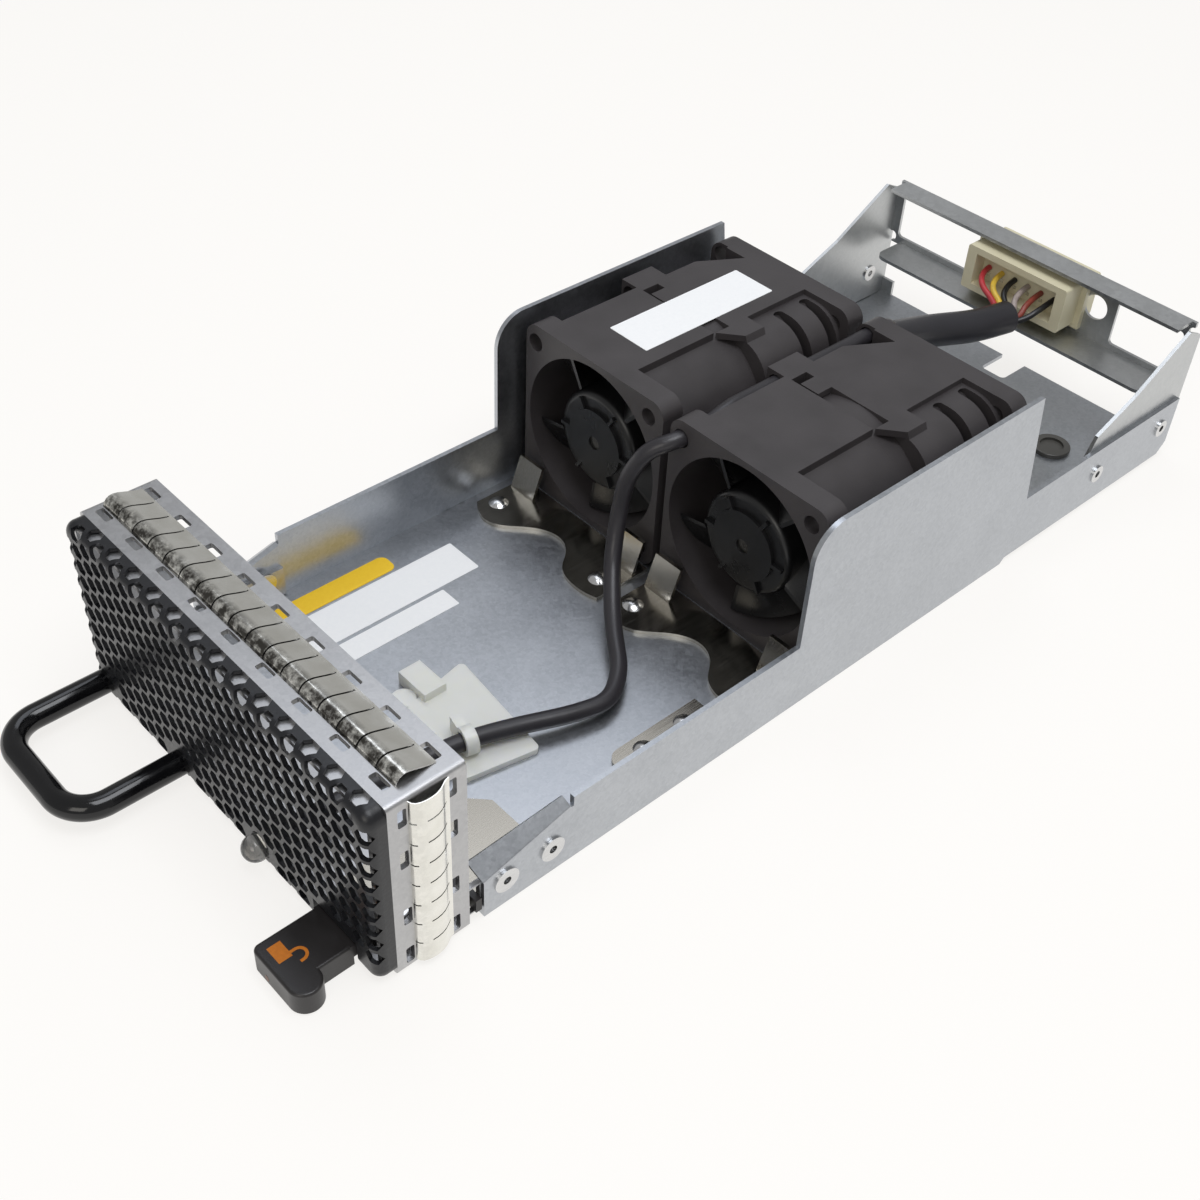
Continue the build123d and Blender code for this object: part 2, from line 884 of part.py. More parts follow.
# Plate that carries the lever's pin
with BuildPart() as lever_base_plate:
    prism(
        Plane.XY.offset(sheet),
        [
            (base_plate_left, behind(base_plate_start)),
            (base_plate_right, behind(base_plate_start)),
            (base_plate_right, behind(base_plate_end)),
            (base_plate_left + base_plate_corner, behind(base_plate_end)),
            (base_plate_left, behind(base_plate_end - base_plate_corner)),
        ],
        thin_sheet,
    )
    disc(
        Plane.XY.offset(sheet),
        pivot_x,
        behind(pivot_depth),
        pivot_radius + fit_gap,
        thin_sheet + cut_over,
        Mode.SUBTRACT,
    )
save("lever_base_plate", lever_base_plate.part)

# Washer and pin of the lever
washer_bottom = lever_top + washer_float
with BuildPart() as lever_washer:
    disc(Plane.XY.offset(washer_bottom), pivot_x, behind(pivot_depth), washer_radius, washer_thick)
    disc(
        Plane.XY.offset(washer_bottom),
        pivot_x,
        behind(pivot_depth),
        pivot_radius + fit_gap,
        washer_thick,
        Mode.SUBTRACT,
    )
save("lever_washer", lever_washer.part)

with BuildPart() as lever_pivot_pin:
    head_bottom = washer_bottom + washer_thick
    disc(Plane.XY.offset(sheet), pivot_x, behind(pivot_depth), pivot_radius, head_bottom - sheet)
    disc(Plane.XY.offset(head_bottom), pivot_x, behind(pivot_depth), pivot_head_radius, pivot_head)
    fillet(lever_pivot_pin.faces().sort_by(Axis.Z)[-1].edges(), pivot_head / 3)
save("lever_pivot_pin", lever_pivot_pin.part)


def wall_rivets(places, head_radius, inner_stack):
    """Hollow rivets through both side walls and the sheet that lies inside them."""
    for side in (-1, 1):
        wall_plane = Plane.YZ.offset(side * half_width)
        for depth, height in places:
            disc(wall_plane, behind(depth), height, head_radius, side * rivet_head_thick)
            disc(wall_plane, behind(depth), height, rivet_radius, -side * (sheet + inner_stack))
            inner_plane = Plane.YZ.offset(side * (inner_wall_x - inner_stack))
            disc(inner_plane, behind(depth), height, head_radius, -side * rivet_head_thick)
    with BuildSketch(Plane.YZ) as eyes:
        with Locations(*[(behind(depth), height) for depth, height in places]):
            Circle(rivet_eye)
    extrude(eyes.sketch, amount=half_width + cut_over, both=True, mode=Mode.SUBTRACT)


with BuildPart() as front_wall_rivets:
    wall_rivets(front_rivets, front_rivet_head, sheet)
save("front_wall_rivets", front_wall_rivets.part)

with BuildPart() as rear_wall_rivets:
    wall_rivets(rear_rivets, rear_rivet_head, thin_sheet)
save("rear_wall_rivets", rear_wall_rivets.part)

# Rear bracket
connector_room = (connector_left - hole_gap, connector_right + hole_gap)
with BuildPart() as rear_bracket:
    with BuildSketch(facing(web_back)):
        with BuildLine():
            Polyline(
                (0, web_bottom),
                (web_half_width, web_bottom),
                (web_half_width, web_corner_z),
                (inner_wall_x, web_corner_z),
                (inner_wall_x, web_corner_top),
                (web_half_width, web_corner_top),
                (web_half_width, web_top),
                (0, web_top),
                close=True,
            )
        make_face()
        mirror(about=Plane.YZ)
        for low, high in (window_left, window_right):
            with Locations(((low + high) / 2, (window_bottom + window_top) / 2)):
                width = high - low
                height = window_top - window_bottom
                RectangleRounded(width, height, window_corner, mode=Mode.SUBTRACT)
        with Locations((sum(connector_room) / 2, (connector_bottom + connector_top) / 2)):
            width = connector_room[1] - connector_room[0]
            height = connector_top - connector_bottom + 2 * hole_gap
            Rectangle(width, height, mode=Mode.SUBTRACT)
        with Locations((guide_hole_x, guide_hole_z)):
            Circle(guide_hole_radius, mode=Mode.SUBTRACT)
        for corner_z in (web_corner_z, web_corner_top):
            with Locations((-web_half_width, corner_z), (web_half_width, corner_z)):
                Circle(relief_radius, mode=Mode.SUBTRACT)
    extrude(amount=thin_sheet)

    # Top flange and lower shelf
    block(
        (-top_flange_half_width, top_flange_half_width),
        (behind(top_flange_start), behind(web_back)),
        (web_top - thin_sheet, web_top),
    )
    shelf_length = web_back - shelf_start
    with BuildSketch(Plane.XY.offset(web_bottom)) as shelf:
        with Locations((0, behind(web_back - shelf_length / 2))):
            Rectangle(2 * shelf_half_width, shelf_length)
        fillet(shelf.vertices().group_by(Axis.Y)[0], shelf_corner)
    extrude(amount=thin_sheet)

    # Ears inside the tray walls, with a foot turned in at the bottom
    for side in (-1, 1):
        prism(
            Plane.YZ.offset(side * inner_wall_x),
            [
                (behind(web_back), ear_bottom),
                (behind(web_back), web_corner_top),
                (behind(ear_top_depth), web_top),
                (behind(ear_slope_depth), ear_slope_z),
                (behind(ear_knee_depth), ear_knee_z),
                (behind(ear_front), ear_step_z),
                (behind(ear_front), ear_bottom),
            ],
            -side * thin_sheet,
        )
        block(
            sorted((side * (inner_wall_x - foot_width - thin_sheet), side * inner_wall_x)),
            (behind(web_back - thin_sheet), behind(web_back)),
            (ear_bottom, foot_top),
        )
    with BuildSketch(Plane.YZ):
        with Locations(*[(behind(depth), height) for depth, height in rear_rivets]):
            Circle(rivet_radius + fit_gap)
    extrude(amount=half_width, both=True, mode=Mode.SUBTRACT)
save("rear_bracket", rear_bracket.part)

# Rear connector, open to the rear
connector_x = (connector_left + connector_right) / 2
connector_z = (connector_bottom + connector_top) / 2
connector_width = connector_right - connector_left
connector_height = connector_top - connector_bottom
with BuildPart() as rear_connector:
    with BuildSketch(facing(connector_back)):
        with Locations((connector_x, connector_z)):
            RectangleRounded(connector_width, connector_height, connector_edge)
    extrude(amount=connector_back - connector_front)
    with BuildSketch(facing(web_back - thin_sheet)):
        with Locations((connector_x, connector_z)):
            Rectangle(connector_width + 2 * connector_flange, connector_height + connector_flange)
    extrude(amount=connector_flange)
    with BuildSketch(facing(connector_back)):
        with Locations((connector_x, connector_z)):
            Rectangle(connector_width - 2 * connector_wall, connector_height - 2 * connector_wall)
    extrude(amount=connector_recess, mode=Mode.SUBTRACT)
    with BuildSketch(facing(connector_front + connector_pocket)):
        with Locations((connector_x, connector_z)):
            Rectangle(
                connector_width - 2 * connector_pocket_inset,
                connector_height - 2 * connector_wall,
            )
    extrude(amount=connector_pocket, mode=Mode.SUBTRACT)
    with BuildSketch(facing(connector_back)):
        with Locations((connector_x, connector_z)):
            with GridLocations(contact_pitch, contact_row_pitch, contact_columns, contact_rows):
                Rectangle(contact_size + 2 * fit_gap, contact_size + 2 * fit_gap)
    extrude(amount=connector_back - connector_front, mode=Mode.SUBTRACT)
save("rear_connector", rear_connector.part)

with BuildPart() as connector_contacts:
    contact_back = connector_back - connector_recess + contact_reach
    with BuildSketch(facing(contact_back)):
        with Locations((connector_x, connector_z)):
            with GridLocations(contact_pitch, contact_row_pitch, contact_columns, contact_rows):
                Rectangle(contact_size, contact_size)
    extrude(amount=contact_back - connector_front - connector_pocket)
save("connector_contacts", connector_contacts.part)

# Floor plug
with BuildPart() as floor_plug:
    rear_floor = step_rise + sheet
    disc(Plane.XY.offset(step_rise), plug_x, behind(plug_depth), plug_hole_radius - fit_gap, sheet)
    disc(Plane.XY.offset(rear_floor), plug_x, behind(plug_depth), plug_hole_radius + sheet, sheet)
    fillet(floor_plug.faces().sort_by(Axis.Z)[-1].edges(), part_gap)
    disc(
        Plane.XY.offset(rear_floor + sheet - plug_cup),
        plug_x,
        behind(plug_depth),
        plug_hole_radius - plug_cup,
        sheet,
        Mode.SUBTRACT,
    )
save("floor_plug", floor_plug.part)


# Fan motor pieces, drawn about Z with the module's open end at zero
def fan_place(side, at_front):
    """Where a module's own axis and open end lie in the tray."""
    depth = fan_front if at_front else fan_back
    origin = (side * fan_x, behind(depth), fan_z)
    return Plane(origin=origin, x_dir=(1, 0, 0), z_dir=(0, 1 if at_front else -1, 0)).location


def blade_section(radius, sweep_half, camber, hand):
    """A blade's bowed section on the upright plane at a radius, axial by tangential."""
    plane = Plane(origin=(radius, 0, 0), x_dir=(0, 0, 1), z_dir=(1, 0, 0))
    middle = (blade_start + blade_end) / 2
    with BuildSketch(plane) as section:
        with BuildLine():
            bow = camber * hand
            start = (blade_start, -sweep_half * hand)
            end = (blade_end, sweep_half * hand)
            ThreePointArc(start, (middle - camber, bow), end)
            Line(end, (end[0], end[1] + blade_thick * hand))
            ThreePointArc(
                (end[0], end[1] + blade_thick * hand),
                (middle - camber, bow + blade_thick * hand),
                (start[0], start[1] + blade_thick * hand),
            )
            Line((start[0], start[1] + blade_thick * hand), start)
        make_face()
    return section.sketch


def make_rotor(hand):
    """Impeller: a hub cup with a raised ring and ribs, and swept blades."""
    with BuildPart() as blade:
        sections = [
            blade_section(blade_root_radius, blade_root_sweep, blade_root_camber, hand),
            blade_section(fan_bore, blade_tip_sweep, blade_tip_camber, hand),
        ]
        loft(sections)
        with Locations((0, 0, 0)):
            Cylinder(
                fan_bore - blade_tip_gap,
                blade_end + cut_over,
                align=(Align.CENTER, Align.CENTER, Align.MIN),
                mode=Mode.INTERSECT,
            )
    with BuildPart() as rotor:
        with BuildSketch(Plane.XZ):
            with BuildLine():
                Polyline(
                    (shaft_radius + fit_gap, hub_front),
                    (hub_ring_radius, hub_front),
                    (hub_ring_radius, hub_front + hub_shoulder),
                    (hub_radius - hub_round, hub_front + hub_shoulder),
                )
                RadiusArc(
                    (hub_radius - hub_round, hub_front + hub_shoulder),
                    (hub_radius, hub_front + hub_shoulder + hub_round),
                    -hub_round,
                )
                Polyline(
                    (hub_radius, hub_front + hub_shoulder + hub_round),
                    (hub_radius, hub_end),
                    (hub_radius - hub_wall, hub_end),
                    (hub_radius - hub_wall, hub_front + hub_cap),
                    (hub_boss_radius, hub_front + hub_cap),
                    (hub_boss_radius, hub_front + hub_boss_length),
                    (shaft_radius + fit_gap, hub_front + hub_boss_length),
                    (shaft_radius + fit_gap, hub_front),
                )
            make_face()
        revolve(axis=Axis.Z)
        rib_end = hub_radius - hub_round
        with BuildSketch(Plane.XY.offset(hub_front)):
            with PolarLocations((hub_ring_radius + rib_end) / 2, hub_rib_count):
                Rectangle(rib_end - hub_ring_radius + hub_rib_width, hub_rib_width)
        extrude(amount=hub_shoulder)
        with PolarLocations(0, blade_count):
            add(blade.part)
    return rotor.part


def make_shaft():
    """Motor shaft."""
    with BuildPart() as shaft:
        disc(Plane.XY.offset(shaft_start), 0, 0, shaft_radius, shaft_end - shaft_start)
    return shaft.part


def make_bearings():
    """The two ball bearings of one shaft, as plain rings."""
    with BuildPart() as bearings:
        for start in bearing_starts:
            disc(Plane.XY.offset(start), 0, 0, bearing_radius, bearing_width)
            disc(
                Plane.XY.offset(start),
                0,
                0,
                shaft_radius + shaft_gap,
                bearing_width,
                Mode.SUBTRACT,
            )
    return bearings.part


def make_stator():
    """Wound stator: a ring on the bearing tube, slotted between its poles."""
    with BuildPart() as stator:
        length = stator_end - stator_start
        disc(Plane.XY.offset(stator_start), 0, 0, stator_radius, length)
        disc(Plane.XY.offset(stator_start), 0, 0, stator_bore, length, Mode.SUBTRACT)
        slot_length_out = (stator_radius - stator_bore) / 2 + cut_over
        with BuildSketch(Plane.XY.offset(stator_start)):
            with PolarLocations(stator_radius - slot_length_out / 2 + cut_over, stator_slot_count):
                Rectangle(slot_length_out, stator_slot)
        extrude(amount=length, mode=Mode.SUBTRACT)
    return stator.part


def make_board():
    """Round control board of one motor, flat on the motor's base."""
    with BuildPart() as board:
        disc(Plane.XY.offset(base_start - board_thick), 0, 0, board_radius, board_thick)
        disc(
            Plane.XY.offset(base_start - board_thick),
            0,
            0,
            stator_bore,
            board_thick,
            Mode.SUBTRACT,
        )
    return board.part


def make_motor_base(hand):
    """Motor base with its bearing tube, on slanted vanes that reach into the barrel."""
    with BuildPart() as base:
        disc(Plane.XY.offset(base_start), 0, 0, hub_radius, base_thick)
        tube_length = base_start - tube_start
        disc(Plane.XY.offset(tube_start), 0, 0, bearing_radius + tube_wall, tube_length)
        bore_depth = base_start - tube_start
        disc(Plane.XY.offset(tube_start), 0, 0, bearing_radius + fit_gap, bore_depth, Mode.SUBTRACT)
        vane_reach = fan_bore + hole_gap - hub_radius + cut_over
        for index in range(vane_count):
            turned = Plane.XY.rotated((0, 0, index * 360 / vane_count))
            across = Plane(origin=turned.x_dir * (hub_radius - cut_over), x_dir=(0, 0, 1), z_dir=turned.x_dir)
            low = vane_sweep * hand / 2
            prism(
                across,
                [
                    (base_start, -low - vane_thick / 2),
                    (base_start, -low + vane_thick / 2),
                    (base_start + vane_length, low + vane_thick / 2),
                    (base_start + vane_length, low - vane_thick / 2),
                ],
                vane_reach,
            )
    return base.part


def barrel(depth_low, depth_high, flat_low, flat_high):
    """The housing's round body on its base, with a flat top beside the cable channel."""
    half = fan_size / 2
    with BuildSketch(facing(depth_high)) as section:
        with Locations((0, fan_z)):
            Circle(barrel_radius)
        with BuildLine():
            Polyline(
                (-half, fan_z),
                (-half, fan_z + channel_floor),
                (0, fan_z + channel_floor),
                (0, fan_z),
                close=True,
            )
        make_face()
        with Locations((0, fan_z - half / 2)):
            Rectangle(2 * base_flat_half_width, half)
    extrude(section.sketch, amount=depth_high - depth_low)
    block(
        (top_flat_left, top_flat_right),
        (behind(flat_low), behind(flat_high)),
        (fan_z, fan_z + half),
    )


def flange(depth_low, depth_high):
    """A square mounting flange with a screw hole in three corners."""
    corner = screw_spacing / 2
    with BuildSketch(facing(depth_high)) as section:
        with Locations((0, fan_z)):
            RectangleRounded(fan_size, fan_size, fan_corner)
            with Locations((corner, corner), (corner, -corner), (-corner, -corner)):
                Circle(screw_hole_radius, mode=Mode.SUBTRACT)
    extrude(section.sketch, amount=depth_high - depth_low)


def cable_boss(depth_low, depth_high):
    """The boss that holds the lamp's cable down in the channel."""
    block(
        (boss_left, boss_right),
        (behind(depth_low), behind(depth_high)),
        (fan_z + channel_floor - sheet, fan_z + fan_size / 2),
    )


def hollow(depth_low, depth_high):
    """Cut the air duct right through a module."""
    length = depth_high - depth_low
    disc(facing(depth_high), 0, fan_z, fan_bore, length, Mode.SUBTRACT)


def cable_hole(depth_low, depth_high, rise):
    """Cut the cable's hole at a height above the fan's axis."""
    length = depth_high - depth_low
    plane = facing(depth_high)
    disc(plane, cable_hole_x, fan_z + rise, cable_hole_radius, length, Mode.SUBTRACT)


def make_front_housing(motor_base):
    """Front module's housing: intake flange, barrel and motor base."""
    with BuildPart() as housing:
        barrel(fan_front, fan_joint, fan_front, top_flat_end)
        flange(fan_front, fan_front + flange_thick)
        cable_boss(boss_start, fan_joint)
        hollow(fan_front, fan_joint)
        cable_hole(fan_front, fan_front + flange_thick, cable_hole_rise)
        cable_hole(boss_start, fan_joint, cable_boss_rise)
        add(motor_base)
    return housing.part


def make_rear_housing(motor_base):
    """Rear module's housing: joint band, cable boss, shoulder slots and back flange."""
    half = fan_size / 2
    flat_end = fan_back - back_flange_thick
    with BuildPart() as housing:
        barrel(fan_joint, fan_back, fan_joint, flat_end)
        prism(
            Plane.XY.offset(fan_z + channel_floor),
            [
                (top_flat_left, behind(pocket_start)),
                (pocket_right, behind(pocket_end)),
                (top_flat_left, behind(pocket_end)),
            ],
            half,
            mode=Mode.SUBTRACT,
        )
        disc(facing(fan_back), 0, fan_z, barrel_radius, fan_back - fan_joint)
        with BuildSketch(facing(fan_back)) as shoulder:
            with Locations((0, fan_z)):
                full = 2 * shoulder_half_width
                RectangleRounded(full, full, shoulder_round)
                with Locations((half / 2, half / 2)):
                    Rectangle(half, half, mode=Mode.INTERSECT)
        extrude(shoulder.sketch, amount=fan_back - fan_joint)
        flange(flat_end, fan_back)
        cable_boss(fan_joint, boss_end)

        # Joint band, wider than the flat top, and its snap tongue over the front module
        prism(
            facing(fan_joint + joint_band),
            [
                (top_flat_left, fan_z + half),
                (band_flat_right, fan_z + half),
                (band_shoulder_x, fan_z + band_shoulder_rise),
                (band_shoulder_x, fan_z),
                (top_flat_left, fan_z),
            ],
            joint_band,
        )
        block(
            (tongue_left, tongue_right),
            (behind(tongue_start), behind(fan_joint)),
            (fan_z + half - tongue_thick, fan_z + half),
        )
        prism(
            Plane.XY.offset(fan_z + wedge_bottom),
            [
                (wedge_left, behind(wedge_start)),
                (wedge_right, behind(fan_joint)),
                (wedge_left, behind(fan_joint)),
            ],
            half - wedge_bottom,
        )
        hollow(fan_joint, fan_back)
        cable_hole(fan_joint, fan_back, cable_boss_rise)

        # Curved cooling slots in the right shoulder
        for depth in shoulder_slot_depths:
            reach = half + cut_over
            low, high = [radians(angle) for angle in shoulder_slot_angles]
            with BuildSketch(facing(depth + shoulder_slot_width / 2)) as ring:
                with BuildLine():
                    Polyline(
                        (0, fan_z),
                        (reach * cos(low) * 2, fan_z + reach * sin(low) * 2),
                        (reach * cos(high) * 2, fan_z + reach * sin(high) * 2),
                        close=True,
                    )
                make_face()
                with Locations((0, fan_z)):
                    Circle(reach, mode=Mode.INTERSECT)
                    Circle(barrel_radius, mode=Mode.SUBTRACT)
            extrude(ring.sketch, amount=shoulder_slot_width, mode=Mode.SUBTRACT)
        add(motor_base)
    return housing.part


rotors = {True: make_rotor(1), False: make_rotor(-1)}
motor_bases = {True: make_motor_base(1), False: make_motor_base(-1)}
front_housing = make_front_housing(motor_bases[True].moved(fan_place(0, True)))
rear_housing = make_rear_housing(motor_bases[False].moved(fan_place(0, False)))
shaft = make_shaft()
bearings = make_bearings()
stator = make_stator()
board = make_board()
for side_name, side in (("left", -1), ("right", 1)):
    across = Location((side * fan_x, 0, 0))
    save(f"{side_name}_front_housing", front_housing.moved(across))
    save(f"{side_name}_rear_housing", rear_housing.moved(across))
    for module_name, at_front in (("front", True), ("rear", False)):
        place = fan_place(side, at_front)
        save(f"{side_name}_{module_name}_rotor", rotors[at_front].moved(place))
        save(f"{side_name}_{module_name}_shaft", shaft.moved(place))
    for kind, piece in (("bearings", bearings), ("stators", stator), ("control_boards", board)):
        with BuildPart() as pair:
            for at_front in (True, False):
                add(piece.moved(fan_place(side, at_front)))
        save(f"{side_name}_fan_{kind}", pair.part)

# Fan retainers: a wavy plate with two clips that lean against each fan
for side_name, shift in (("left", 0), ("right", fan_spacing)):
    with BuildPart() as retainer:
        left = retainer_left + shift
        right = retainer_right + shift
        wave = [(left + along, behind(depth)) for along, depth in retainer_wave]
        with BuildSketch(Plane.XY.offset(sheet)):
            with BuildLine():
                Spline(*wave)
                Polyline(wave[-1], (right, behind(retainer_back)), (left, behind(retainer_back)), wave[0])
            make_face()
        extrude(amount=thin_sheet)
        for clip_x in (left + clip_inset, right - clip_inset - clip_width):
            lean_in = clip_head - clip_foot
            prism(
                Plane.YZ.offset(clip_x),
                [
                    (behind(clip_foot), sheet),
                    (behind(clip_foot + thin_sheet), sheet),
                    (behind(clip_foot + thin_sheet + lean_in), clip_height),
                    (behind(clip_foot + lean_in), clip_height),
                ],
                clip_width,
            )
    save(f"{side_name}_fan_retainer", retainer.part)


def dome_rivet(x, depth, seat):
    """A domed rivet head on a plate, with its shank through plate and floor."""
    dome = (dome_radius ** 2 + dome_height ** 2) / (2 * dome_height)
    with BuildSketch(Plane.XZ) as section:
        with BuildLine():
            Line((0, seat), (dome_radius, seat))
            RadiusArc((dome_radius, seat), (0, seat + dome_height), -dome)
            Line((0, seat + dome_height), (0, seat))
        make_face()
    head = revolve(section.sketch, axis=Axis.Z, mode=Mode.PRIVATE)
    add(head.moved(Location((x, behind(depth), 0))))


with BuildPart() as retainer_rivets:
    for shift in (0, fan_spacing):
        for x in (retainer_left + retainer_rivet_inset, retainer_right - retainer_rivet_right_inset):
            dome_rivet(x + shift, retainer_rivet_depth, sheet + thin_sheet)
save("retainer_rivets", retainer_rivets.part)

# Floor strip by the right wall
with BuildPart() as floor_strip:
    with BuildSketch(Plane.XY.offset(sheet)) as strip_outline:
        with Locations(((strip_left + strip_right) / 2, behind((strip_start + strip_end) / 2))):
            Rectangle(strip_right - strip_left, strip_end - strip_start)
        fillet(strip_outline.vertices().group_by(Axis.Y)[0], strip_corner)
    extrude(amount=thin_sheet)
save("floor_strip", floor_strip.part)

with BuildPart() as strip_rivets:
    for depth in strip_rivet_depths:
        dome_rivet(strip_rivet_x, depth, sheet + thin_sheet)
save("strip_rivets", strip_rivets.part)

# Cable mount
with BuildPart() as cable_mount:
    prism(
        Plane.XY.offset(sheet),
        [
            (mount_left, behind(mount_end)),
            (mount_left + mount_taper, behind(mount_start + mount_taper)),
            (mount_right - mount_taper, behind(mount_start)),
            (mount_right, behind(mount_end - mount_taper)),
        ],
        mount_thick,
        corner=mount_taper / 3,
    )
    block(
        (block_left, block_right),
        (behind(block_start), behind(block_end)),
        (sheet, sheet + block_height),
    )
    disc(Plane.XY.offset(sheet), lug_x, behind(lug_depth), lug_radius, mount_thick)
save("cable_mount", cable_mount.part)

# Cable tie: a band round the lamp's cable with its head on the mount's side
with BuildPart() as cable_tie:
    band_plane = Plane(
        origin=(tie_x, behind(tie_depth - tie_width / 2), tie_z),
        x_dir=(1, 0, 0),
        z_dir=(sin(radians(tie_turn)), cos(radians(tie_turn)), 0),
    )
    band_inside = lamp_cable_radius + part_gap / 2
    with BuildSketch(band_plane):
        Circle(band_inside + tie_thick)
        with Locations((-band_inside - tie_head / 2, 0)):
            Rectangle(tie_head, tie_head)
        Circle(band_inside, mode=Mode.SUBTRACT)
    extrude(amount=tie_width)
save("cable_tie", cable_tie.part)

# Cords
with BuildPart() as lamp_cable:
    tube("lamp_cable", lamp_cable_route, lamp_cable_radius)
save("lamp_cable", lamp_cable.part)

with BuildPart() as harness_sleeve:
    tube("harness_sleeve", sleeve_route, sleeve_radius)
save("harness_sleeve", harness_sleeve.part)

with BuildPart() as connector_wires:
    sleeve_end = sleeve_route[-1]
    for index in range(contact_columns):
        offset_count = index - (contact_columns - 1) / 2
        contact_x = connector_x + offset_count * contact_pitch
        start_x = sleeve_end[0] + offset_count * 2 * lead_radius * cos(pi / 6)
        route = [
            (start_x, sleeve_end[1] + sheet + part_gap, sleeve_end[2]),
            (contact_x, connector_front - wire_straight, connector_z - part_gap),
            (contact_x, connector_front + connector_pocket - hole_gap, connector_z),
        ]
        tube(f"connector wire {index + 1}", route, lead_radius)
save("connector_wires", connector_wires.part)

with BuildPart() as fan_leads:
    sleeve_start = sleeve_route[0]
    for side in (-1, 1):
        route = [
            (side * lead_start_x, fan_back + part_gap, lead_start_z),
            (side * lead_start_x, fan_back + wire_straight, lead_start_z + part_gap),
            (
                sleeve_start[0] + side * lead_spread,
                sleeve_start[1] - sheet,
                sleeve_start[2] - lead_drop,
            ),
        ]
        tube("fan lead", route, lead_radius)
save("fan_leads", fan_leads.part)
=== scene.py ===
# %% [markdown]
# # A switch's fan tray, dressed for its portrait
# The tray is a zinc-coated steel drawer with two double fans, a black grille with a
# bent-rod handle in front and a connector bracket behind. The solids come from CAD
# with their real sizes, so this lesson is mostly about finish: what each surface is
# made of, and what that gives the eye. It also makes the pieces that CAD left plain:
# the slots of the rear housings, stickers, a sign, finger strips and coloured wires.

# %% Load the solids
import json
import math

import bmesh
import bpy
from mathutils import Euler, Matrix, Vector


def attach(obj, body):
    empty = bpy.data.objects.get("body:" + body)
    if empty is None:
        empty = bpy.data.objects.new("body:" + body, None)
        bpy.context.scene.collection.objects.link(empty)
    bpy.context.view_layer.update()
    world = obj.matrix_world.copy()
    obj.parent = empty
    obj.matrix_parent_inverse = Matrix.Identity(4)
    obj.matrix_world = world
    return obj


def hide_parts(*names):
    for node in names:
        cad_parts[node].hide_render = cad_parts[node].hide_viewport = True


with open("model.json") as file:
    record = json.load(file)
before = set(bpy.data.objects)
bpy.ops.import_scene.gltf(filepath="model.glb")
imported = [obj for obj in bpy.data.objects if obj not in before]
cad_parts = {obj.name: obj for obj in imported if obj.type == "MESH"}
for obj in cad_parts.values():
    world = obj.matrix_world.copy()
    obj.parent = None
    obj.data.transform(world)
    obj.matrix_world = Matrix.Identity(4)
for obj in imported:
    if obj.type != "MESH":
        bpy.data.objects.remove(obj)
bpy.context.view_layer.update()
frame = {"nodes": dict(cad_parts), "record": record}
nodes = frame["nodes"]
print(len(nodes), "solids loaded")

# %% [markdown]
# ## Millimetres and depths
# The tray was measured in millimetres, with depth counted backwards from the bezel's
# front face. Blender works in metres about the tray's own middle. Two small helpers
# do that sum in one place, so that the numbers below read like a workshop drawing.

# %% Units
MIDDLE_DEPTH = 90.0


def mm(value):
    """Millimetres as metres."""
    return value / 1000


def spot(x, depth, z):
    """A point of the tray, from its drawing to Blender's metres."""
    return Vector((mm(x), mm(depth - MIDDLE_DEPTH), mm(z)))


print("front face at y =", round(spot(0, 0, 0).y, 4))

# %% [markdown]
# ## The camera
# The picture was taken from above the front right corner with a normal lens, close
# enough that the handle looms a little. A camera could be aimed at the object by eye,
# but the corners of the bezel and tray fix its place, turn and focal length exactly.

# %% Camera
FOCAL_LENGTH = 47.06
CAMERA_PLACE = (0.16591, -0.17014, 0.21164)
CAMERA_TURN = (47.902, -2.452, 47.739)
camera_data = bpy.data.cameras.new("camera")
camera_data.lens = FOCAL_LENGTH
camera_data.sensor_width = 36.0
camera_data.clip_start = 0.01
camera = bpy.data.objects.new("camera", camera_data)
camera.location = CAMERA_PLACE
camera.rotation_euler = Euler([math.radians(angle) for angle in CAMERA_TURN])
bpy.context.scene.collection.objects.link(camera)
bpy.context.scene.camera = camera
print("camera is", round(camera.location.length, 3), "m from the tray's middle")

# %% [markdown]
# ## Colours and nodes
# Colours are picked on a screen as sRGB hex values, while a renderer adds light in
# linear numbers, so one function turns the first into the second. A material is a
# small network of nodes. Adding each with its settings and links in one call keeps a
# finish short enough to read as a recipe. A Mix node repeats its sockets' names, so
# there they go by number: 0 is the share, 2 and 3 the two values, 6 and 7 the two
# colours. Most of a noise lies between two values, and a range starts and ends there.

# %% Helpers for finishes
NOISE_LOW = 0.3
NOISE_HIGH = 0.7


def colour(code):
    """An sRGB hex value as Blender's linear red, green, blue and alpha."""
    shares = [int(code[i : i + 2], 16) / 255 for i in (1, 3, 5)]
    linear = [s / 12.92 if s <= 0.04045 else ((s + 0.055) / 1.055) ** 2.4 for s in shares]
    return (*linear, 1.0)


def per(size):
    """A texture scale that repeats once in so many millimetres."""
    return 1000 / size


def add_node(tree, kind, settings, links):
    """Add a node, set its sockets or properties, and link its inputs."""
    node = tree.nodes.new(kind)
    for name, value in settings.items():
        if isinstance(name, int) or name in node.inputs:
            node.inputs[name].default_value = value
        else:
            setattr(node, name, value)
    for name, socket in links.items():
        tree.links.new(socket, node.inputs[name])
    return node


def new_finish(name, settings):
    """A material with its surface shader, and the tray's own coordinates."""
    material = bpy.data.materials.new(name)
    material.use_nodes = True
    tree = material.node_tree
    shader = tree.nodes["Principled BSDF"]
    for socket, value in settings.items():
        shader.inputs[socket].default_value = value
    place = tree.nodes.new("ShaderNodeTexCoord").outputs["Object"]
    return material, tree, shader, place


print("mid grey is", round(colour("#808080")[0], 3), "in linear light")

